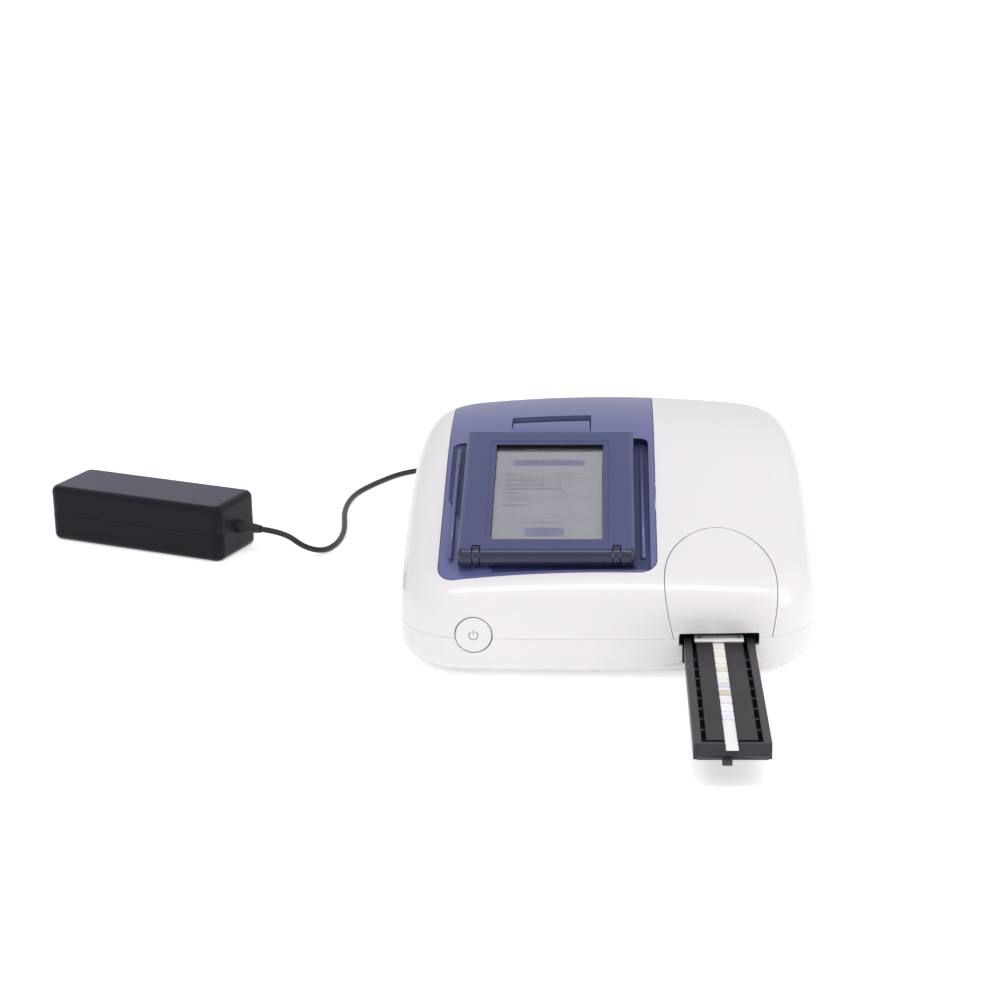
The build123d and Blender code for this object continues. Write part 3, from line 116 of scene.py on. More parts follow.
def add_node(tree, kind, settings=None, inputs=None):
    """Add a node with its settings; an input is a constant or the socket that feeds it."""
    made = tree.nodes.new(kind)
    for name, value in (settings or {}).items():
        setattr(made, name, value)
    for name, value in (inputs or {}).items():
        if isinstance(value, bpy.types.NodeSocket):
            tree.links.new(value, made.inputs[name])
        else:
            made.inputs[name].default_value = value
    return made


def new_material(name):
    """An empty node material and its Principled shader."""
    made = bpy.data.materials.new(name)
    made.use_nodes = True
    return made, made.node_tree, made.node_tree.nodes["Principled BSDF"]


def set_sockets(shader, values):
    """Write constants straight on the shader's sockets."""
    for name, value in values.items():
        shader.inputs[name].default_value = value


def surface(name, colour, roughness, grain_mm, relief_mm, mottle=0.04, **sockets):
    """A moulded or cast surface: faint mottling, uneven gloss and a fine grain in relief."""
    made, tree, shader = new_material(name)
    place = add_node(tree, "ShaderNodeTexCoord").outputs["Object"]
    clouds = add_node(
        tree,
        "ShaderNodeTexNoise",
        inputs={"Vector": place, "Scale": 1 / CLOUD_SIZE, "Detail": 3.0},
    ).outputs["Fac"]
    grain = add_node(
        tree,
        "ShaderNodeTexNoise",
        inputs={"Vector": place, "Scale": 1 / (grain_mm * MM), "Detail": 2.0},
    ).outputs["Fac"]
    darker = tuple(channel * (1 - mottle) for channel in colour[:3]) + (1.0,)
    tone = add_node(
        tree,
        "ShaderNodeMix",
        {"data_type": "RGBA"},
        {"Factor": clouds, MIX_A: colour, MIX_B: darker},
    )
    gloss = add_node(
        tree,
        "ShaderNodeMapRange",
        inputs={
            "Value": clouds,
            "To Min": roughness * (1 - GLOSS_SPREAD),
            "To Max": roughness * (1 + GLOSS_SPREAD),
        },
    )
    bump = add_node(
        tree,
        "ShaderNodeBump",
        inputs={"Height": grain, "Distance": relief_mm * MM, "Strength": 1.0},
    )
    tree.links.new(tone.outputs[MIX_RESULT], shader.inputs["Base Color"])
    tree.links.new(gloss.outputs["Result"], shader.inputs["Roughness"])
    tree.links.new(bump.outputs["Normal"], shader.inputs["Normal"])
    set_sockets(shader, {key.replace("_", " "): value for key, value in sockets.items()})
    return made


def drawn_metal(name, colour, roughness, line_mm):
    """Rolled or turned metal: fine lines along its length."""
    made, tree, shader = new_material(name)
    place = add_node(tree, "ShaderNodeTexCoord").outputs["Object"]
    stretched = add_node(
        tree,
        "ShaderNodeMapping",
        inputs={"Vector": place, "Scale": (1.0, METAL_LINE_SCALE, 1.0)},
    ).outputs["Vector"]
    lines = add_node(
        tree,
        "ShaderNodeTexNoise",
        inputs={"Vector": stretched, "Scale": 1 / (line_mm * MM), "Detail": 2.0},
    ).outputs["Fac"]
    gloss = add_node(
        tree,
        "ShaderNodeMapRange",
        inputs={
            "Value": lines,
            "To Min": roughness * (1 - METAL_GLOSS_SPREAD),
            "To Max": roughness * (1 + METAL_GLOSS_SPREAD),
        },
    )
    tree.links.new(gloss.outputs["Result"], shader.inputs["Roughness"])
    set_sockets(shader, {"Base Color": colour, "Metallic": 1.0})
    return made


def clear_material(name, tint, roughness):
    """Clear sheet or lens: it lets light through and keeps its own reflection."""
    made, _, shader = new_material(name)
    set_sockets(
        shader,
        {
            "Base Color": tint,
            "Roughness": roughness,
            "IOR": 1.49,
            "Transmission Weight": 1.0,
            "Alpha": 0.12,
        },
    )
    return made


def pad_material():
    """Reagent paper pads: matte felt, each in the pale tone of its own reagent."""
    made, tree, shader = new_material("reagent filter paper, impregnated")
    tone = add_node(tree, "ShaderNodeAttribute", {"attribute_name": "pad tone"}).outputs["Fac"]
    ramp = add_node(tree, "ShaderNodeValToRGB", inputs={"Fac": tone})
    steps = ramp.color_ramp
    steps.interpolation = "CONSTANT"
    for number, code in enumerate(PAD_TONES):
        if number < 2:
            step = steps.elements[number]
            step.position = number / len(PAD_TONES)
        else:
            step = steps.elements.new(number / len(PAD_TONES))
        step.color = linear(code)
    place = add_node(tree, "ShaderNodeTexCoord").outputs["Object"]
    fibres = add_node(
        tree,
        "ShaderNodeTexNoise",
        inputs={"Vector": place, "Scale": 1 / (0.3 * MM), "Detail": 3.0},
    ).outputs["Fac"]
    bump = add_node(
        tree, "ShaderNodeBump", inputs={"Height": fibres, "Distance": 0.03 * MM, "Strength": 1.0}
    )
    tree.links.new(ramp.outputs["Color"], shader.inputs["Base Color"])
    tree.links.new(bump.outputs["Normal"], shader.inputs["Normal"])
    set_sockets(shader, {"Roughness": 0.9})
    return made


def make_finishes():
    """One finish for each material slot of the record, those of the printed details, and the darker blues of
    painted shade.
    """
    look = bpy.context.scene.analyzer_case
    deck = bpy.context.scene.analyzer_deck
    white = tuple(look.white)
    return {
        # ABS sprayed with pearl lacquer: a soft body colour under a clear, bright coat.
        "case_white": surface(
            "ABS, pearl lacquered", white, 0.36, 0.6, 0.0006, 0.02,
            Coat_Weight=0.8, Coat_Roughness=0.1, Sheen_Weight=0.12,
            Sheen_Roughness=0.3, Sheen_Tint=PEARL_EDGE, IOR=1.5,
        ),
        "button_white": surface(
            "ABS button cap, pearl lacquered", white, 0.34, 0.6, 0.0006, 0.02,
            Coat_Weight=0.5, Coat_Roughness=0.1, IOR=1.5,
        ),
        # Polished moulded ABS with a metallic pigment: an even sheen, no texture from afar.
        "deck_blue": surface(
            "ABS, blue metallic pigment", tuple(deck.deck_blue), 0.36, 0.4, 0.0008, 0.05,
            Metallic=0.25, Coat_Weight=0.3, Coat_Roughness=0.15, IOR=1.5,
        ),
        "bezel_blue": surface(
            "ABS, dark blue metallic pigment", tuple(deck.bezel_blue), 0.34, 0.4, 0.0008, 0.05,
            Metallic=0.25, Coat_Weight=0.35, Coat_Roughness=0.12, IOR=1.5,
        ),
        # Painted shade: the recess walls are the deck's own blue plastic, made darker where shade falls in the
        # recess.
        "inner_blue": surface("ABS, blue, recess walls, painted shade", PAINTED_SHADE_WELL_BLUE, 0.6, 0.5, 0.004, IOR=1.5),
        # Painted shade: the groove floor is the deck's own blue, made darker where shade falls in the finger
        # grooves.
        "groove_floor": surface("ABS, blue, groove floor, painted shade", PAINTED_SHADE_GROOVE_BLUE, 0.45, 0.4, 0.002, IOR=1.5),
        # Painted shade: a darker copy of the bezel's blue for its front roll and the hinge knuckles, which face
        # forward, out of the light.
        "bezel_front": surface(
            "ABS, blue, rolled front, painted shade", PAINTED_SHADE_FRONT_BLUE, 0.3, 0.4, 0.0008, 0.05,
            Coat_Weight=0.3, Coat_Roughness=0.12, IOR=1.5,
        ),
        "screen_glass": clear_material("acrylic window", (1.0, 1.0, 1.0, 1.0), 0.04),
        "lens_clear": clear_material("acrylic lens", (1.0, 1.0, 1.0, 1.0), 0.02),
        # Reflective LCD behind its polariser: flat grey with a dull shine.
        "lcd_grey": surface("LCD polariser film", SCREEN_GREY, 0.5, 8.0, 0.0, 0.03, IOR=1.5),
        "board_green": surface(
            "glass epoxy, green solder mask", linear("#1F5A36"), 0.35, 1.2, 0.01, 0.12, IOR=1.5
        ),
        "chip_black": surface("moulded epoxy", linear("#1E1E20"), 0.6, 0.2, 0.004),
        "rubber_black": surface("nitrile rubber, moulded", linear("#1D1D1F"), 0.75, 0.4, 0.01),
        "bright_steel": drawn_metal("steel, zinc plated", linear("#C2C3C4"), 0.32, 0.4),
        "motor_steel": drawn_metal("steel can, drawn", linear("#A9A9AA"), 0.38, 0.4),
        "port_metal": drawn_metal("steel, tin plated", linear("#CBCBC8"), 0.28, 0.5),
        "inner_grey": surface("ABS, grey moulded", linear("#8D8D90"), 0.5, 0.5, 0.004),
        # Spark-eroded mould texture: fine and even, it keeps only a broad dull shine.
        "tray_grey": surface(
            "ABS, grey eroded texture", TRAY_GREY, 0.42, 0.35, 0.006, 0.05, IOR=1.5
        ),
        "holder_black": surface(
            "ABS, charcoal eroded texture", HOLDER_GREY, 0.5, 0.35, 0.008, 0.05, IOR=1.5
        ),
        "strip_white": surface("polystyrene strip", linear("#F4F4F2"), 0.4, 1.0, 0.001, 0.01),
        "pad_colours": pad_material(),
        "reference_white": surface("PTFE, white", linear("#F3F2EE"), 0.6, 0.4, 0.002, 0.01),
        "gear_white": surface("acetal, natural", linear("#E9E6DD"), 0.35, 0.8, 0.002, 0.02),
        "paper_white": surface("thermal paper", linear("#F2F0EC"), 0.7, 0.2, 0.003, 0.02),
        "core_card": surface("grey card", linear("#B39B7C"), 0.85, 0.3, 0.02, 0.1),
        "port_black": surface("nylon, glass filled", linear("#202022"), 0.5, 0.25, 0.006),
        # Extruded PVC jacket: smooth, with a soft line of light along it.
        "lead_black": surface("PVC jacket", LEAD_BLACK, 0.42, 0.8, 0.004, 0.08, IOR=1.53),
        # Polycarbonate blend with a fine leather-like moulded grain.
        "adapter_black": surface(
            "PC-ABS, fine grain", ADAPTER_GREY, 0.38, 0.6, 0.006, 0.06, IOR=1.42,
            Specular_IOR_Level=0.2, Sheen_Weight=1.0, Sheen_Roughness=0.3,
            Sheen_Tint=linear("#C9C6EC"),
        ),
        "tie_black": surface("nylon tie", linear("#202022"), 0.5, 0.6, 0.004),
        "icon_ink": surface("pad-printed ink, grey", ICON_INK, 0.5, 0.2, 0.0005),
        "screen_ink": surface("LCD segment, grey", SCREEN_INK, 0.6, 0.2, 0.0002),
        "screen_bar": surface("LCD segment, lilac", SCREEN_BAR, 0.6, 0.2, 0.0002),
        # Black print and border ink; on the walls of the display's window it is painted shade.
        "screen_black": surface("black border ink and painted window shade", SCREEN_BLACK, 0.5, 0.2, 0.0005),
    }


FINISHES = {}


# ---------------------------------------------------------------- mesh helpers
MERGE_DISTANCE = 0.002 * MM
FLAT_ANGLE = math.radians(0.3)      # faces that lie flatter than this become one
SHARP_ANGLE = math.radians(28)      # an edge from here on is shaded sharp
BEVEL_ANGLE = math.radians(32)      # an edge from here on is broken


def piece_from(name, mesh, body, replaced=()):
    """A scene object for a finished mesh, riding on its body."""
    made = bpy.data.objects.new(name, mesh)
    bpy.context.scene.collection.objects.link(made)
    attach(made, body)
    if replaced:
        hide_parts(*replaced)
    return made


def piece_from_bmesh(name, shape, finish, body, replaced=(), smooth=True):
    """Write a bmesh to a piece with one finish."""
    mesh = bpy.data.meshes.new(name)
    for face in shape.faces:
        face.smooth = smooth
    shape.to_mesh(mesh)
    shape.free()
    mesh.materials.append(FINISHES[finish])
    return piece_from(name, mesh, body, replaced)


def baked(made):
    """Apply a piece's modifiers by evaluating it, and drop them."""
    depsgraph = bpy.context.evaluated_depsgraph_get()
    mesh = bpy.data.meshes.new_from_object(made.evaluated_get(depsgraph), depsgraph=depsgraph)
    mesh.name = made.name
    made.modifiers.clear()
    made.data = mesh
    return made


def dressed(node, edge_mm):
    """A merged copy of a CAD node; edge_mm, where set, breaks its edges as a moulding's are."""
    source = frame["nodes"][node]
    shape = bmesh.new()
    shape.from_mesh(source.data)
    bmesh.ops.remove_doubles(shape, verts=shape.verts, dist=MERGE_DISTANCE)
    if edge_mm:
        bmesh.ops.dissolve_limit(
            shape, angle_limit=FLAT_ANGLE, verts=shape.verts, edges=shape.edges
        )
    for face in shape.faces:
        face.smooth = True
    for edge in shape.edges:
        edge.smooth = not edge.is_manifold or edge.calc_face_angle(0) < SHARP_ANGLE
    mesh = bpy.data.meshes.new(node)
    shape.to_mesh(mesh)
    shape.free()
    slot = SLOTS[node]
    mesh.materials.append(FINISHES[slot])
    made = piece_from(f"{node}_skin", mesh, BODY_OF[node], (node,))
    if edge_mm:
        bevel = made.modifiers.new("broken edges", "BEVEL")
        bevel.width = edge_mm * MM
        bevel.segments = 2
        bevel.limit_method = "ANGLE"
        bevel.angle_limit = BEVEL_ANGLE
        bevel.use_clamp_overlap = False
        bevel.harden_normals = True
        baked(made)
    return made


# ---------------------------------------------------------------- settings
class CaseSettings(bpy.types.PropertyGroup):
    white: FloatVectorProperty(
        name="White", description="Body colour of the case", subtype="COLOR", size=4,
        min=0, max=1, default=PEARL_WHITE,
    )
    edge: FloatProperty(
        name="Broken edge", description="Round on the case's cut edges, in millimetres",
        default=0.25, min=0.0, max=1.0,
    )


class DeckSettings(bpy.types.PropertyGroup):
    deck_blue: FloatVectorProperty(
        name="Deck", description="Colour of the blue deck", subtype="COLOR", size=4,
        min=0, max=1, default=DECK_BLUE,
    )
    bezel_blue: FloatVectorProperty(
        name="Bezel", description="Colour of the display's frame", subtype="COLOR", size=4,
        min=0, max=1, default=BEZEL_BLUE,
    )


class ScreenSettings(bpy.types.PropertyGroup):
    line_height: FloatProperty(
        name="Line height", description="Height of a printed line's marks", subtype="DISTANCE",
        default=1.5 * MM, min=0.5 * MM, max=4 * MM,
    )
    mark_pitch: FloatProperty(
        name="Mark pitch", description="Distance between two marks", subtype="DISTANCE",
        default=1.5 * MM, min=0.5 * MM, max=4 * MM,
    )
    mask_depth: FloatProperty(
        name="Black border", description="Depth of the black border at the screen's rear",
        subtype="DISTANCE", default=3.4 * MM, min=0.0, max=6 * MM,
    )


class TraySettings(bpy.types.PropertyGroup):
    pads: IntProperty(
        name="Pads", description="Reagent pads on the strip", default=10, min=1, max=14
    )
    pad_length: FloatProperty(
        name="Pad length", description="Length of one pad", subtype="DISTANCE",
        default=5 * MM, min=1 * MM, max=8 * MM,
    )


class LeadSettings(bpy.types.PropertyGroup):
    diameter: FloatProperty(
        name="Diameter", description="The lead's outer diameter", subtype="DISTANCE",
        default=3 * MM, min=1 * MM, max=6 * MM,
    )


class StageSettings(bpy.types.PropertyGroup):
    ambient: FloatProperty(
        name="Ambient", description="Strength of the even light from all round",
        default=0.77, min=0.0, max=2.0,
    )
    floor: FloatVectorProperty(
        name="Floor", description="Colour of the floor", subtype="COLOR", size=4,
        min=0, max=1, default=linear("#FBFBFB"),
    )


# ---------------------------------------------------------------- stage
CAMERA_PLACE = (0.0, -0.902, 0.3686)
CAMERA_DOWN = 18.0          # degrees below level
CAMERA_LENS = 75.6          # mm on a 36 mm sensor
CAMERA_SHIFT = -0.108       # the photograph is cropped off centre
LAMP_COLOUR = (1.0, 0.975, 0.955)
AMBIENT_COLOUR = (0.985, 0.98, 1.0)
FLOOR_SIZE = 6.0
FLOOR_GLOW = 0.2            # as bounced light
FLOOR_GLOW_SEEN = 0.42      # as the camera sees it
LAMPS = [
    # name, place, aimed at, width, length, watts
    ("overhead_softbox", (0.02, -0.46, 0.98), (0.0, -0.02, 0.05), 1.3, 0.2, 3.5),
    ("front_softbox", (-0.6, -1.25, 0.5), (0.0, 0.0, 0.04), 0.9, 0.7, 0.3),
    ("right_softbox", (1.15, -0.45, 0.65), (0.0, 0.05, 0.05), 0.5, 0.9, 2.6),
]


class ANALYZER_OT_stage(bpy.types.Operator):
    """Make the floor, the world, the lamps and the camera"""

    bl_idname = "analyzer.stage"
    bl_label = "Stage"

    def execute(self, context):
        look = context.scene.analyzer_stage
        shape = bmesh.new()
        bmesh.ops.create_grid(shape, x_segments=1, y_segments=1, size=FLOOR_SIZE)
        mesh = bpy.data.meshes.new("floor")
        shape.to_mesh(mesh)
        shape.free()
        floor = bpy.data.objects.new("floor", mesh)
        context.scene.collection.objects.link(floor)
        paper, tree, shader = new_material("white paper sweep")
        rays = add_node(tree, "ShaderNodeLightPath")
        seen = add_node(
            tree,
            "ShaderNodeMapRange",
            inputs={
                "Value": rays.outputs["Is Camera Ray"],
                "To Min": FLOOR_GLOW,
                "To Max": FLOOR_GLOW_SEEN,
            },
        )
        tree.links.new(seen.outputs["Result"], shader.inputs["Emission Strength"])
        set_sockets(
            shader,
            {
                "Base Color": tuple(look.floor),
                "Roughness": 0.9,
                "Specular IOR Level": 0.1,
                "Emission Color": (1.0, 1.0, 1.0, 1.0),
            },
        )
        mesh.materials.append(paper)

        world = bpy.data.worlds.new("white studio")
        world.use_nodes = True
        context.scene.world = world
        tree = world.node_tree
        tree.nodes.clear()
        rays = add_node(tree, "ShaderNodeLightPath")
        direct = add_node(
            tree,
            "ShaderNodeMath",
            {"operation": "MAXIMUM"},
            {0: rays.outputs["Is Camera Ray"], 1: rays.outputs["Is Transmission Ray"]},
        )
        strength = add_node(
            tree,
            "ShaderNodeMapRange",
            inputs={"Value": direct.outputs[0], "To Min": look.ambient, "To Max": 1.0},
        )
        tint = add_node(
            tree,
            "ShaderNodeMix",
            {"data_type": "RGBA"},
            {
                "Factor": direct.outputs[0],
                MIX_A: (*AMBIENT_COLOUR, 1.0),
                MIX_B: (1.0, 1.0, 1.0, 1.0),
            },
        )
        backdrop = add_node(
            tree,
            "ShaderNodeBackground",
            inputs={"Color": tint.outputs[MIX_RESULT], "Strength": strength.outputs["Result"]},
        )
        add_node(tree, "ShaderNodeOutputWorld", inputs={"Surface": backdrop.outputs[0]})

        for name, place, aim, width, length, watts in LAMPS:
            data = bpy.data.lights.new(name, "AREA")
            data.shape = "RECTANGLE"
            data.size = width
            data.size_y = length
            data.energy = watts
            data.color = LAMP_COLOUR
            lamp = bpy.data.objects.new(name, data)
            context.scene.collection.objects.link(lamp)
            lamp.location = place
            lamp.rotation_euler = (Vector(aim) - Vector(place)).to_track_quat("-Z", "Y").to_euler()

        data = bpy.data.cameras.new("photo_camera")
        data.lens = CAMERA_LENS
        data.sensor_width = 36.0
        data.shift_x = CAMERA_SHIFT
        data.clip_start = 0.05
        camera = bpy.data.objects.new("photo_camera", data)
        context.scene.collection.objects.link(camera)
        camera.location = CAMERA_PLACE
        camera.rotation_euler = (math.radians(90 - CAMERA_DOWN), 0.0, 0.0)
        context.scene.camera = camera
        context.scene.view_settings.view_transform = "Standard"
        return {"FINISHED"}


# ---------------------------------------------------------------- lead
BACK = 147.0                # the case's back, in millimetres
COIL_CENTRE = (-19.75, 248.0)
COIL_OUTER = 24.0
COIL_PITCH = 4.2
COIL_LEVEL = 2.5
COIL_OUT_Y = 234.5          # where the lead has left the coil towards the plug
COIL_IN_Y = 262.5           # where the adapter's end of the lead enters the coil
LOWER_HALF_TURNS = 7
UPPER_HALF_TURNS = 6
TURN_POINTS = 8             # control points in half a turn
PLUG_ROUTE = [
    (-42.0, 31.8, 30.0),
    (-42.0, 44.0, 30.0),
    (-42.8, 56.0, 19.5),
    (-43.6, 65.5, 8.0),
    (-43.2, 76.0, 2.4),
]
ADAPTER_ROUTE = [
    (-158.8, -14.3, 6.5),
    (-149.5, -8.0, 2.0),
    (-144.0, 5.0, 1.55),
    (-142.5, 22.0, 1.55),
    (-144.0, 40.0, 1.55),
    (-146.5, 58.0, 1.55),
    (-146.5, 77.0, 1.55),
    (-143.5, 94.7, 1.55),
    (-133.5, 114.5, 1.55),
    (-121.0, 133.0, 1.55),
    (-103.0, 141.5, 1.55),
    (-84.0, 141.5, 1.55),
    (-66.0, 136.0, 1.55),
    (-52.5, 127.0, 1.7),
]
ADAPTER_END = Vector((-194.2, 142.2, 15.0))
ADAPTER_TURN = math.radians(-22.0)
RELIEF_LENGTH = 14.0
PARTING_EDGE = 0.45 * MM    # round on the two edges that meet at the adapter's parting line
PARTING_ANGLE = math.radians(50)


def adapter_place(along, across=0.0, up=0.0):
    """A point on the adapter, in millimetres, measured out of the end that the lead leaves."""
    outward = Vector((math.cos(ADAPTER_TURN), math.sin(ADAPTER_TURN), 0))
    sideways = Vector((-outward.y, outward.x, 0))
    return ADAPTER_END + outward * along + sideways * across + Vector((0, 0, up))


def coil_points():
    """Control points of the coil, from where the adapter's lead enters to its way out."""
    swell = 1 / (0.75 + 0.25 * math.cos(math.pi / TURN_POINTS))
    points = []
    side, radius = 1, COIL_OUTER
    level = COIL_LEVEL
    steps = [-1] * LOWER_HALF_TURNS + [0] + [1] * UPPER_HALF_TURNS
    for step in steps:
        next_radius = radius + step * COIL_PITCH / 2
        centre = side * (radius - next_radius) / 2
        mean = (radius + next_radius) / 2 * swell
        climb = 0 if step else COIL_PITCH
        for number in range(TURN_POINTS):
            share = (number + 0.5) / TURN_POINTS
            turn = math.pi * share
            x = centre + side * mean * math.cos(turn)
            y = side * mean * math.sin(turn)
            z = level + climb * (1 - math.cos(turn)) / 2
            points.append((COIL_CENTRE[0] - x, COIL_CENTRE[1] - y, z))
        side = -side
        radius = next_radius
        level += climb
    return points


class ANALYZER_OT_lead(bpy.types.Operator):
    """Lay the adapter's lead as one smooth cord, with its tied coil behind the case"""

    bl_idname = "analyzer.lead"
    bl_label = "Lead"

    def execute(self, context):
        look = context.scene.analyzer_lead
        coil = coil_points()
        first = [(x, BACK + behind, z) for x, behind, z in PLUG_ROUTE]
        last = [(x, BACK + behind, z) for x, behind, z in ADAPTER_ROUTE]
        coil_out = (coil[-1][0], COIL_OUT_Y, coil[-1][2])
        coil_in = (coil[0][0], COIL_IN_Y, COIL_LEVEL)
        start = adapter_place(RELIEF_LENGTH)
        route = first + [coil_out] + coil[::-1] + [coil_in] + last[::-1]
        route += [tuple(adapter_place(2 * RELIEF_LENGTH)), tuple(start)]
        curve = bpy.data.curves.new("adapter_cord", "CURVE")
        curve.dimensions = "3D"
        curve.bevel_depth = look.diameter / 2
        curve.bevel_resolution = 5
        curve.use_fill_caps = True
        spline = curve.splines.new("NURBS")
        spline.points.add(len(route) - 1)
        for point, place in zip(spline.points, route):
            point.co = (place[0] * MM, place[1] * MM, place[2] * MM, 1.0)
        spline.order_u = 3
        spline.use_endpoint_u = True
        spline.resolution_u = 6
        curve.materials.append(FINISHES["lead_black"])
        cord = bpy.data.objects.new("adapter_cord", curve)
        context.scene.collection.objects.link(cord)
        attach(cord, "case")
        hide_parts("plug_lead", "lead_coil", "adapter_lead")
        return {"FINISHED"}


# ---------------------------------------------------------------- repeated details
TONE_OFFSET = 0.02          # keeps each block's tone off the edge of its step
WIDTH_SEED_STEP = 17.0      # between the seed of a block's presence and that of its width


def repeat_tree(name):
    """A tree that repeats a small block along a line, each with its own share as pad tone."""
    tree = bpy.data.node_groups.new(name, "GeometryNodeTree")
    tree.is_modifier = True
    face = tree.interface
    face.new_socket("Geometry", in_out="INPUT", socket_type="NodeSocketGeometry")
    for label, kind, value in (
        ("Count", "NodeSocketInt", 10),
        ("Start", "NodeSocketVector", (0, 0, 0)),
        ("Step", "NodeSocketVector", (0, 0, 0.001)),
        ("Block", "NodeSocketVector", (0.001, 0.001, 0.001)),
        ("Least width", "NodeSocketFloat", 1.0),
        ("Kept share", "NodeSocketFloat", 1.0),
        ("Seed", "NodeSocketInt", 1),
        ("Material", "NodeSocketMaterial", None),
    ):
        socket = face.new_socket(label, in_out="INPUT", socket_type=kind)
        if value is not None:
            socket.default_value = value
    face.new_socket("Geometry", in_out="OUTPUT", socket_type="NodeSocketGeometry")
    given = add_node(tree, "NodeGroupInput").outputs
    line = add_node(
        tree,
        "GeometryNodeMeshLine",
        {"mode": "OFFSET"},
        {"Count": given["Count"], "Start Location": given["Start"], "Offset": given["Step"]},
    )
    index = add_node(tree, "GeometryNodeInputIndex").outputs["Index"]
    share = add_node(
        tree, "ShaderNodeMath", {"operation": "DIVIDE"}, {0: index, 1: given["Count"]}
    )
    middle = add_node(
        tree, "ShaderNodeMath", {"operation": "ADD"}, {0: share.outputs[0], 1: TONE_OFFSET}
    )
    marked = add_node(
        tree,
        "GeometryNodeStoreNamedAttribute",
        {"data_type": "FLOAT", "domain": "POINT"},
        {"Geometry": line.outputs["Mesh"], "Name": "pad tone", "Value": middle.outputs[0]},
    )
    chance = add_node(
        tree,
        "FunctionNodeRandomValue",
        {"data_type": "FLOAT"},
        {"ID": index, "Seed": given["Seed"]},
    )
    kept = add_node(
        tree,
        "FunctionNodeCompare",
        {"data_type": "FLOAT", "operation": "LESS_THAN"},
        {"A": chance.outputs[RANDOM_FLOAT], "B": given["Kept share"]},
    )
    width_seed = add_node(
        tree, "ShaderNodeMath", {"operation": "ADD"}, {0: given["Seed"], 1: WIDTH_SEED_STEP}
    )
    width = add_node(
        tree,
        "FunctionNodeRandomValue",
        {"data_type": "FLOAT"},
        {
            RANDOM_MIN: given["Least width"],
            RANDOM_MAX: 1.0,
            "ID": index,
            "Seed": width_seed.outputs[0],
        },
    )
    scale = add_node(
        tree,
        "ShaderNodeCombineXYZ",
        inputs={"X": width.outputs[RANDOM_FLOAT], "Y": 1.0, "Z": 1.0},
    )
    block = add_node(tree, "GeometryNodeMeshCube", inputs={"Size": given["Block"]})
    placed = add_node(
        tree,
        "GeometryNodeInstanceOnPoints",
        inputs={
            "Points": marked.outputs["Geometry"],
            "Selection": kept.outputs["Result"],
            "Instance": block.outputs["Mesh"],
            "Scale": scale.outputs[0],
        },
    )
    real = add_node(
        tree, "GeometryNodeRealizeInstances", inputs={"Geometry": placed.outputs["Instances"]}
    )
    finished = add_node(
        tree,
        "GeometryNodeSetMaterial",
        inputs={"Geometry": real.outputs["Geometry"], "Material": given["Material"]},
    )
    add_node(tree, "NodeGroupOutput", inputs={"Geometry": finished.outputs["Geometry"]})
    return tree


def run_tree(name, tree, values):
    """The mesh that a tree makes with these named inputs."""
    made = bpy.data.objects.new(name, bpy.data.meshes.new(name))
    bpy.context.scene.collection.objects.link(made)
    modifier = made.modifiers.new("shape", "NODES")
    modifier.node_group = tree
    for socket in tree.interface.items_tree:
        if socket.in_out == "INPUT" and socket.name in values:
            modifier[socket.identifier] = values[socket.name]
    depsgraph = bpy.context.evaluated_depsgraph_get()
    mesh = bpy.data.meshes.new_from_object(made.evaluated_get(depsgraph), depsgraph=depsgraph)
    mesh.name = name
    bpy.data.objects.remove(made)
    return mesh


# ---------------------------------------------------------------- case
class ANALYZER_OT_case(bpy.types.Operator):
    """Finish the white case, its tray cover and the power button with its symbol"""

    bl_idname = "analyzer.case"
    bl_label = "Case"

    def execute(self, context):
        edge = context.scene.analyzer_case.edge
        for node in ("top_cover", "bottom_case", "tray_bay_cover"):
            dressed(node, edge)
        dressed("power_button", 0.0)
        dressed("side_port_plug", 0.2)
        low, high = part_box("power_button")
        centre = Vector(((low.x + high.x) / 2, low.y, (low.z + high.z) / 2))
        power_symbol(centre, radius=2.0 * MM, width=0.45 * MM)
        return {"FINISHED"}


def power_symbol(centre, radius, width):
    """The usual power symbol, printed on the button: a broken ring and a bar."""
    shape = bmesh.new()
    lift = 0.02 * MM
    gap = math.radians(32)
    steps = 40
    bar_middle = radius * 0.72
    bar_length = radius * 1.05
    rings = []
    for number in range(steps + 1):
        turn = math.pi / 2 + gap + (2 * math.pi - 2 * gap) * number / steps
        rings.append(
            [
                shape.verts.new(
                    (
                        centre.x + reach * math.cos(turn),
                        centre.y - depth,
                        centre.z + reach * math.sin(turn),
                    )
                )
                for reach, depth in (
                    (radius - width / 2, 0.0),
                    (radius - width / 2, lift),
                    (radius + width / 2, lift),
                    (radius + width / 2, 0.0),
                )
            ]
        )
    for one, two in zip(rings, rings[1:]):
        for side in range(4):
            after = (side + 1) % 4
            shape.faces.new((one[side], one[after], two[after], two[side]))
    shape.faces.new(rings[0][::-1])
    shape.faces.new(rings[-1])
    bar = Matrix.Translation(centre + Vector((0, -lift / 2, bar_middle)))
    bar = bar @ Matrix.Diagonal((width, lift, bar_length, 1.0))
    bmesh.ops.create_cube(shape, size=1.0, matrix=bar)
    bmesh.ops.recalc_face_normals(shape, faces=shape.faces)
    piece_from_bmesh("power_symbol", shape, "icon_ink", "button", smooth=False)


# ---------------------------------------------------------------- deck and display
DISPLAY_SLOPE = math.radians(20.0)
HINGE = Vector(JOINTS["display_tilt"]["pos_m"])
DISPLAY_PLACE = Matrix.Translation(HINGE) @ Matrix.Rotation(DISPLAY_SLOPE, 4, "X")
WINDOW_WIDTH = 50.6 * MM
WINDOW_START = 6.7 * MM     # from the hinge axis, along the slope
WINDOW_LENGTH = 71.5 * MM
RECESS_WIDTH = 93.6 * MM
RECESS_FRONT = -6.5 * MM
RECESS_REAR = 89.8 * MM
RECESS_TOP = 8.0 * MM
FLOOR_LEVEL = -4.75 * MM    # the recess's floor, from the hinge axis
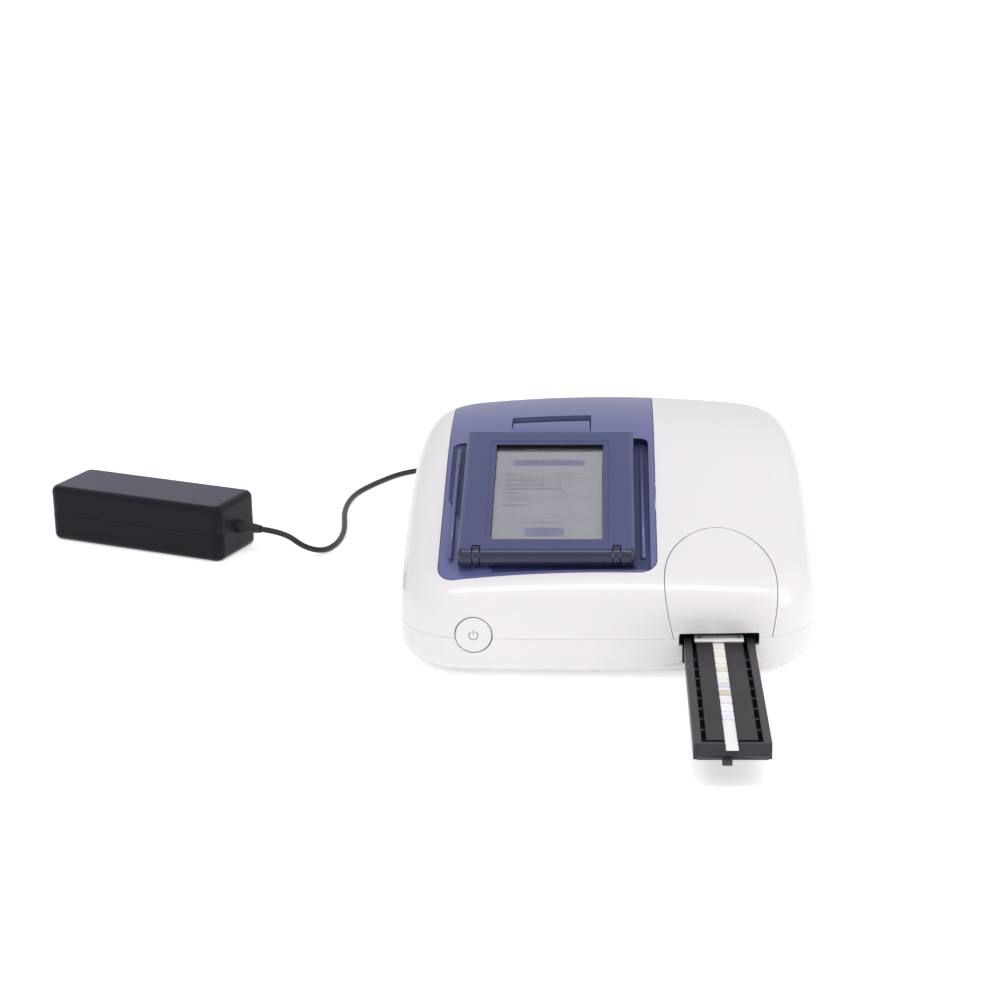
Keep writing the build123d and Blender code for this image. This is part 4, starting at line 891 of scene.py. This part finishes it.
# Facing limits that pick the faces given painted shade: the recess walls and the bezel's front roll.
WALL_FACING = 0.35          # a face that faces out of the slope less than this is a wall
ROLL_FACING = 0.95          # and less than this, on the bezel's front, its roll
WINDOW_WALL_TOP = 4.05 * MM
KNUCKLE_RADIUS = 4.6 * MM
RIB_ACROSS = 43.6 * MM      # from the display's middle
RIB_WIDTH = 2.2 * MM
RIB_START = 3.0 * MM
RIB_LENGTH = 82.0 * MM
RIB_HEIGHT = 1.6 * MM
RIB_LEVEL = -4.2 * MM       # middle of the rib, from the hinge axis
RIB_ROUND = 0.4 * MM
LCD_FACE = 2.0 * MM         # above the hinge axis, square to the slope
GLASS_FACE = 3.1 * MM
GLASS_THICKNESS = 0.7 * MM
GLASS_EDGE = 0.15 * MM
GLASS_EXTRA_WIDTH = 1.6 * MM        # beyond the window, both sides together
GLASS_EXTRA_LENGTH = 2.4 * MM
BORDER_HEIGHT = 0.1 * MM
BORDER_WIDTH = 0.8 * MM
BAR_HEIGHT = 0.03 * MM
RULE_LENGTH = 41 * MM
RULE_WIDTH = 0.25 * MM
RULE_HEIGHT = 0.02 * MM
INK_HEIGHT = 0.03 * MM              # of a printed mark, out of the screen
SCREEN_LINES = [
    # from, to, across the screen, and height up it, all in millimetres; share of marks kept
    (-20.3, -12.5, 50.6, 1.0), (4.5, 12.5, 50.6, 1.0),
    (-20.3, 0.5, 45.8, 0.8), (4.0, 8.5, 45.8, 1.0),
    (-20.3, 1.5, 42.6, 0.85), (4.0, 8.0, 42.6, 1.0),
    (-20.3, 3.0, 39.4, 0.8), (4.0, 8.0, 39.4, 1.0),
    (-20.3, -12.0, 36.2, 0.9), (4.0, 11.0, 36.2, 0.7),
    (-20.3, -7.5, 31.5, 0.7), (-20.3, -7.0, 27.0, 0.85),
    (-12.5, 9.0, 14.6, 0.85),
]
SCREEN_RULES = (48.3, 33.8, 18.2)
SCREEN_BARS = [(-17.2, 16.8, 59.4, 4.6), (-10.4, 7.6, 7.4, 6.2)]


def screen_block(shape, centre_x, along, width, length, low, high):
    """A thin block on the screen."""
    place = DISPLAY_PLACE @ Matrix.Translation(
        (centre_x, WINDOW_START + along, (low + high) / 2)
    )
    bmesh.ops.create_cube(
        shape, size=1.0, matrix=place @ Matrix.Diagonal((width, length, high - low, 1.0))
    )


def repaint(made, finish, chosen):
    """Give a finish to the faces that a test chooses by place and facing on the display; most calls paint shade
    this way.
    """
    made.data.materials.append(FINISHES[finish])
    to_display = DISPLAY_PLACE.inverted()
    turn = to_display.to_3x3()
    for face in made.data.polygons:
        if chosen(to_display @ face.center, turn @ face.normal):
            face.material_index = len(made.data.materials) - 1


def in_recess(place):
    """Whether a place on the deck lies in the recess round the display."""
    across = abs(place.x) < RECESS_WIDTH / 2 + 0.02 * MM
    along = RECESS_FRONT - 0.02 * MM < place.y < RECESS_REAR + 0.02 * MM
    return across and along and place.z < RECESS_TOP


def on_floor(place):
    """Whether a place lies on the level of the recess's floor."""
    return abs(place.z - FLOOR_LEVEL) < 0.1 * MM


def on_knuckle(place):
    """Whether a place on the deck lies on one of the knuckles of the display's hinge."""
    return in_recess(place) and place.y < KNUCKLE_RADIUS and place.z > -KNUCKLE_RADIUS


def in_window(place):
    """Whether a place on the bezel is a wall of its window."""
    along = place.y - WINDOW_START
    across = abs(place.x) < WINDOW_WIDTH / 2 + 0.05 * MM
    within = across and -0.05 * MM < along < WINDOW_LENGTH + 0.05 * MM
    return within and place.z < WINDOW_WALL_TOP


def groove_ribs():
    """A low rib along the floor of each finger groove."""
    shape = bmesh.new()
    for side in (-1, 1):
        size = (RIB_WIDTH, RIB_LENGTH, RIB_HEIGHT, 1.0)
        spot = Vector((side * RIB_ACROSS, RIB_START + RIB_LENGTH / 2, RIB_LEVEL))
        place = DISPLAY_PLACE @ Matrix.Translation(spot)
        bmesh.ops.create_cube(shape, size=1.0, matrix=place @ Matrix.Diagonal(size))
    bmesh.ops.bevel(
        shape, geom=shape.edges[:], offset=RIB_ROUND, segments=2, affect="EDGES"
    )
    piece_from_bmesh("groove_ribs", shape, "deck_blue", "case")


class ANALYZER_OT_deck(bpy.types.Operator):
    """Finish the blue deck, paint shade on its recess walls, groove floor and hinge knuckles, and make the ribs of
    the finger grooves
    """

    bl_idname = "analyzer.deck"
    bl_label = "Deck"

    def execute(self, context):
        deck = dressed("blue_deck", 0.0)
        # Painted shade: the recess walls take a darker blue.
        repaint(
            deck, "inner_blue",
            lambda place, facing: in_recess(place) and facing.z < WALL_FACING,
        )
        # Painted shade: the groove floor takes a darker blue.
        repaint(deck, "groove_floor", lambda place, facing: in_recess(place) and on_floor(place))
        # Painted shade: the hinge knuckles take the darker blue of the display's front roll.
        repaint(deck, "bezel_front", lambda place, facing: on_knuckle(place))
        groove_ribs()
        return {"FINISHED"}


class ANALYZER_OT_display(bpy.types.Operator):
    """Finish the display's frame, paint shade on its front roll and window walls, and make its window and its
    generic picture
    """

    bl_idname = "analyzer.display"
    bl_label = "Display"

    def execute(self, context):
        look = context.scene.analyzer_screen
        bezel = dressed("display_bezel", 0.35)
        # Painted shade: the walls of the window are painted black where shade falls in its step.
        repaint(bezel, "screen_black", lambda place, facing: in_window(place))
        # Painted shade: the bezel's front roll takes a darker blue.
        repaint(
            bezel, "bezel_front", lambda place, facing: place.y < 0 and facing.z < ROLL_FACING
        )
        back = dressed("display_back", 0.2)
        # Painted shade: the front of the display's back takes the same darker blue.
        repaint(back, "bezel_front", lambda place, facing: place.y < 0)
        repaint(back, "deck_blue", lambda place, facing: place.y > RECESS_REAR)

        shape = bmesh.new()
        screen_block(
            shape, 0, WINDOW_LENGTH / 2, WINDOW_WIDTH + GLASS_EXTRA_WIDTH,
            WINDOW_LENGTH + GLASS_EXTRA_LENGTH, GLASS_FACE - GLASS_THICKNESS, GLASS_FACE,
        )
        bmesh.ops.bevel(
            shape, geom=shape.edges[:], offset=GLASS_EDGE, segments=2, affect="EDGES"
        )
        piece_from_bmesh(
            "window_pane", shape, "screen_glass", "display",
            ("display_glass",), smooth=False,
        )

        shape = bmesh.new()
        low, high = LCD_FACE, LCD_FACE + BORDER_HEIGHT
        depth = look.mask_depth
        screen_block(
            shape, 0, WINDOW_LENGTH - depth / 2 + 0.5 * MM, WINDOW_WIDTH + 1.4 * MM,
            depth + 1.0 * MM, low, high,
        )
        for side in (-1, 1):
            screen_block(
                shape, side * (WINDOW_WIDTH / 2 + 0.1 * MM), WINDOW_LENGTH / 2, BORDER_WIDTH,
                WINDOW_LENGTH, low, high,
            )
        screen_block(shape, 0, -0.1 * MM, WINDOW_WIDTH + 1.0 * MM, BORDER_WIDTH, low, high)
        piece_from_bmesh(
            "screen_border", shape, "screen_black", "display", smooth=False
        )

        shape = bmesh.new()
        for left, right, along, length in SCREEN_BARS:
            screen_block(
                shape, (left + right) / 2 * MM, along * MM, (right - left) * MM, length * MM,
                low, low + BAR_HEIGHT,
            )
        piece_from_bmesh("screen_bars", shape, "screen_bar", "display", smooth=False)

        shape = bmesh.new()
        for along in SCREEN_RULES:
            screen_block(
                shape, 0, along * MM, RULE_LENGTH, RULE_WIDTH, low, low + RULE_HEIGHT
            )
        piece_from_bmesh("screen_rules", shape, "screen_ink", "display", smooth=False)
        self.print_lines(look)
        return {"FINISHED"}

    def print_lines(self, look):
        """Rows of plain marks that stand for printed lines, with no letters in them."""
        tree = repeat_tree("printed marks")
        joined = bmesh.new()
        for number, (left, right, along, kept) in enumerate(SCREEN_LINES):
            count = max(int((right - left) * MM / look.mark_pitch), 2)
            mesh = run_tree(
                f"line_{number}",
                tree,
                {
                    "Count": count,
                    "Start": (
                        left * MM, WINDOW_START + along * MM, LCD_FACE + INK_HEIGHT / 2
                    ),
                    "Step": (look.mark_pitch, 0.0, 0.0),
                    "Block": (look.mark_pitch * 0.8, look.line_height, INK_HEIGHT),
                    "Least width": 0.55,
                    "Kept share": kept,
                    "Seed": 11 + number,
                    "Material": FINISHES["screen_ink"],
                },
            )
            joined.from_mesh(mesh)
        bmesh.ops.transform(joined, matrix=DISPLAY_PLACE, verts=joined.verts)
        piece_from_bmesh(
            "screen_lines", joined, "screen_ink", "display", smooth=False
        )


# ---------------------------------------------------------------- tray
PAD_SIDE_GAP = 0.1 * MM     # both sides together
MARK_SIZE = 1.6 * MM        # of the two dark marks on the reference plate
MARK_HEIGHT = 0.04 * MM
MARK_REACH = 0.4            # share of the plate's width, from its middle


class ANALYZER_OT_tray(bpy.types.Operator):
    """Finish the strip tray, and make the reagent pads and the reference plate's marks"""

    bl_idname = "analyzer.tray"
    bl_label = "Strip tray"

    def execute(self, context):
        look = context.scene.analyzer_tray
        dressed("tray_carrier", 0.2)
        dressed("strip_holder", 0.2)
        dressed("test_strip", 0.0)
        dressed("reference_plate", 0.1)
        low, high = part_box("reagent_pads")
        pitch = (high.y - low.y - look.pad_length) / (look.pads - 1)
        mesh = run_tree(
            "reagent_pads_felt",
            repeat_tree("reagent pads"),
            {
                "Count": look.pads,
                "Start": ((low.x + high.x) / 2, low.y + look.pad_length / 2, (low.z + high.z) / 2),
                "Step": (0.0, pitch, 0.0),
                "Block": (high.x - low.x - PAD_SIDE_GAP, look.pad_length, high.z - low.z),
                "Material": FINISHES["pad_colours"],
            },
        )
        piece_from("reagent_pads_felt", mesh, "tray", ("reagent_pads",))

        low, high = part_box("reference_plate")
        shape = bmesh.new()
        for side in (-1, 1):
            middle = (low.x + high.x) / 2 + side * (high.x - low.x) * MARK_REACH
            place = Matrix.Translation((middle, (low.y + high.y) / 2, high.z))
            bmesh.ops.create_cube(
                shape,
                size=1.0,
                matrix=place @ Matrix.Diagonal((MARK_SIZE, MARK_SIZE, MARK_HEIGHT, 1.0)),
            )
        piece_from_bmesh(
            "reference_marks", shape, "screen_black", "tray", smooth=False
        )
        return {"FINISHED"}


# ---------------------------------------------------------------- adapter, rear and inside
class ANALYZER_OT_adapter(bpy.types.Operator):
    """Finish the mains adapter, its strain relief and the lead's plug"""

    bl_idname = "analyzer.adapter"
    bl_label = "Adapter"

    def execute(self, context):
        dressed("adapter_relief", 0.1)
        dressed("dc_plug", 0.15)
        dressed("plug_relief", 0.1)
        dressed("coil_tie", 0.15)
        for node in ("adapter_base", "adapter_lid"):
            shell = frame["nodes"][node]
            merge = shell.modifiers.new("merge", "WELD")
            merge.merge_threshold = MERGE_DISTANCE
            bevel = shell.modifiers.new("broken edges", "BEVEL")
            bevel.width = PARTING_EDGE
            bevel.segments = 2
            bevel.limit_method = "ANGLE"
            bevel.angle_limit = PARTING_ANGLE
        return {"FINISHED"}


class ANALYZER_OT_rear(bpy.types.Operator):
    """Finish the rear connectors and the parts underneath"""

    bl_idname = "analyzer.rear"
    bl_label = "Rear and underside"

    def execute(self, context):
        dressed("port_plate", 0.2)
        dressed("usb_port", 0.1)
        dressed("serial_port", 0.15)
        dressed("dc_jack", 0.1)
        dressed("rubber_feet", 0.0)
        dressed("case_screws", 0.08)
        return {"FINISHED"}


class ANALYZER_OT_inside(bpy.types.Operator):
    """Give every piece that stays as packed its finish"""

    bl_idname = "analyzer.inside"
    bl_label = "Inside"

    def execute(self, context):
        for node, made in frame["nodes"].items():
            made.data.materials.clear()
            made.data.materials.append(FINISHES[SLOTS[node]])
        return {"FINISHED"}


class ANALYZER_PT_panel(bpy.types.Panel):
    """Lists the analyzer's pieces and their settings"""

    bl_idname = "ANALYZER_PT_panel"
    bl_label = "Analyzer"
    bl_space_type = "VIEW_3D"
    bl_region_type = "UI"
    bl_category = "Analyzer"

    def draw(self, context):
        for operator in OPERATORS:
            self.layout.operator(operator.bl_idname)
        for name, group in SETTINGS.items():
            box = self.layout.box()
            for key in group.__annotations__:
                box.prop(getattr(context.scene, name), key)


SETTINGS = {
    "analyzer_case": CaseSettings,
    "analyzer_deck": DeckSettings,
    "analyzer_screen": ScreenSettings,
    "analyzer_tray": TraySettings,
    "analyzer_lead": LeadSettings,
    "analyzer_stage": StageSettings,
}
OPERATORS = (
    ANALYZER_OT_stage,
    ANALYZER_OT_inside,
    ANALYZER_OT_adapter,
    ANALYZER_OT_lead,
    ANALYZER_OT_case,
    ANALYZER_OT_deck,
    ANALYZER_OT_display,
    ANALYZER_OT_tray,
    ANALYZER_OT_rear,
)


def register():
    for group in SETTINGS.values():
        bpy.utils.register_class(group)
    for name, group in SETTINGS.items():
        setattr(bpy.types.Scene, name, PointerProperty(type=group))
    for operator in OPERATORS:
        bpy.utils.register_class(operator)
    bpy.utils.register_class(ANALYZER_PT_panel)


def unregister():
    bpy.utils.unregister_class(ANALYZER_PT_panel)
    for operator in reversed(OPERATORS):
        bpy.utils.unregister_class(operator)
    for name in SETTINGS:
        delattr(bpy.types.Scene, name)
    for group in reversed(SETTINGS.values()):
        bpy.utils.unregister_class(group)


def main():
    register()
    FINISHES.update(make_finishes())
    for operator in OPERATORS:
        getattr(bpy.ops.analyzer, operator.bl_idname.split(".")[1])()


if __name__ == "__main__":
    main()
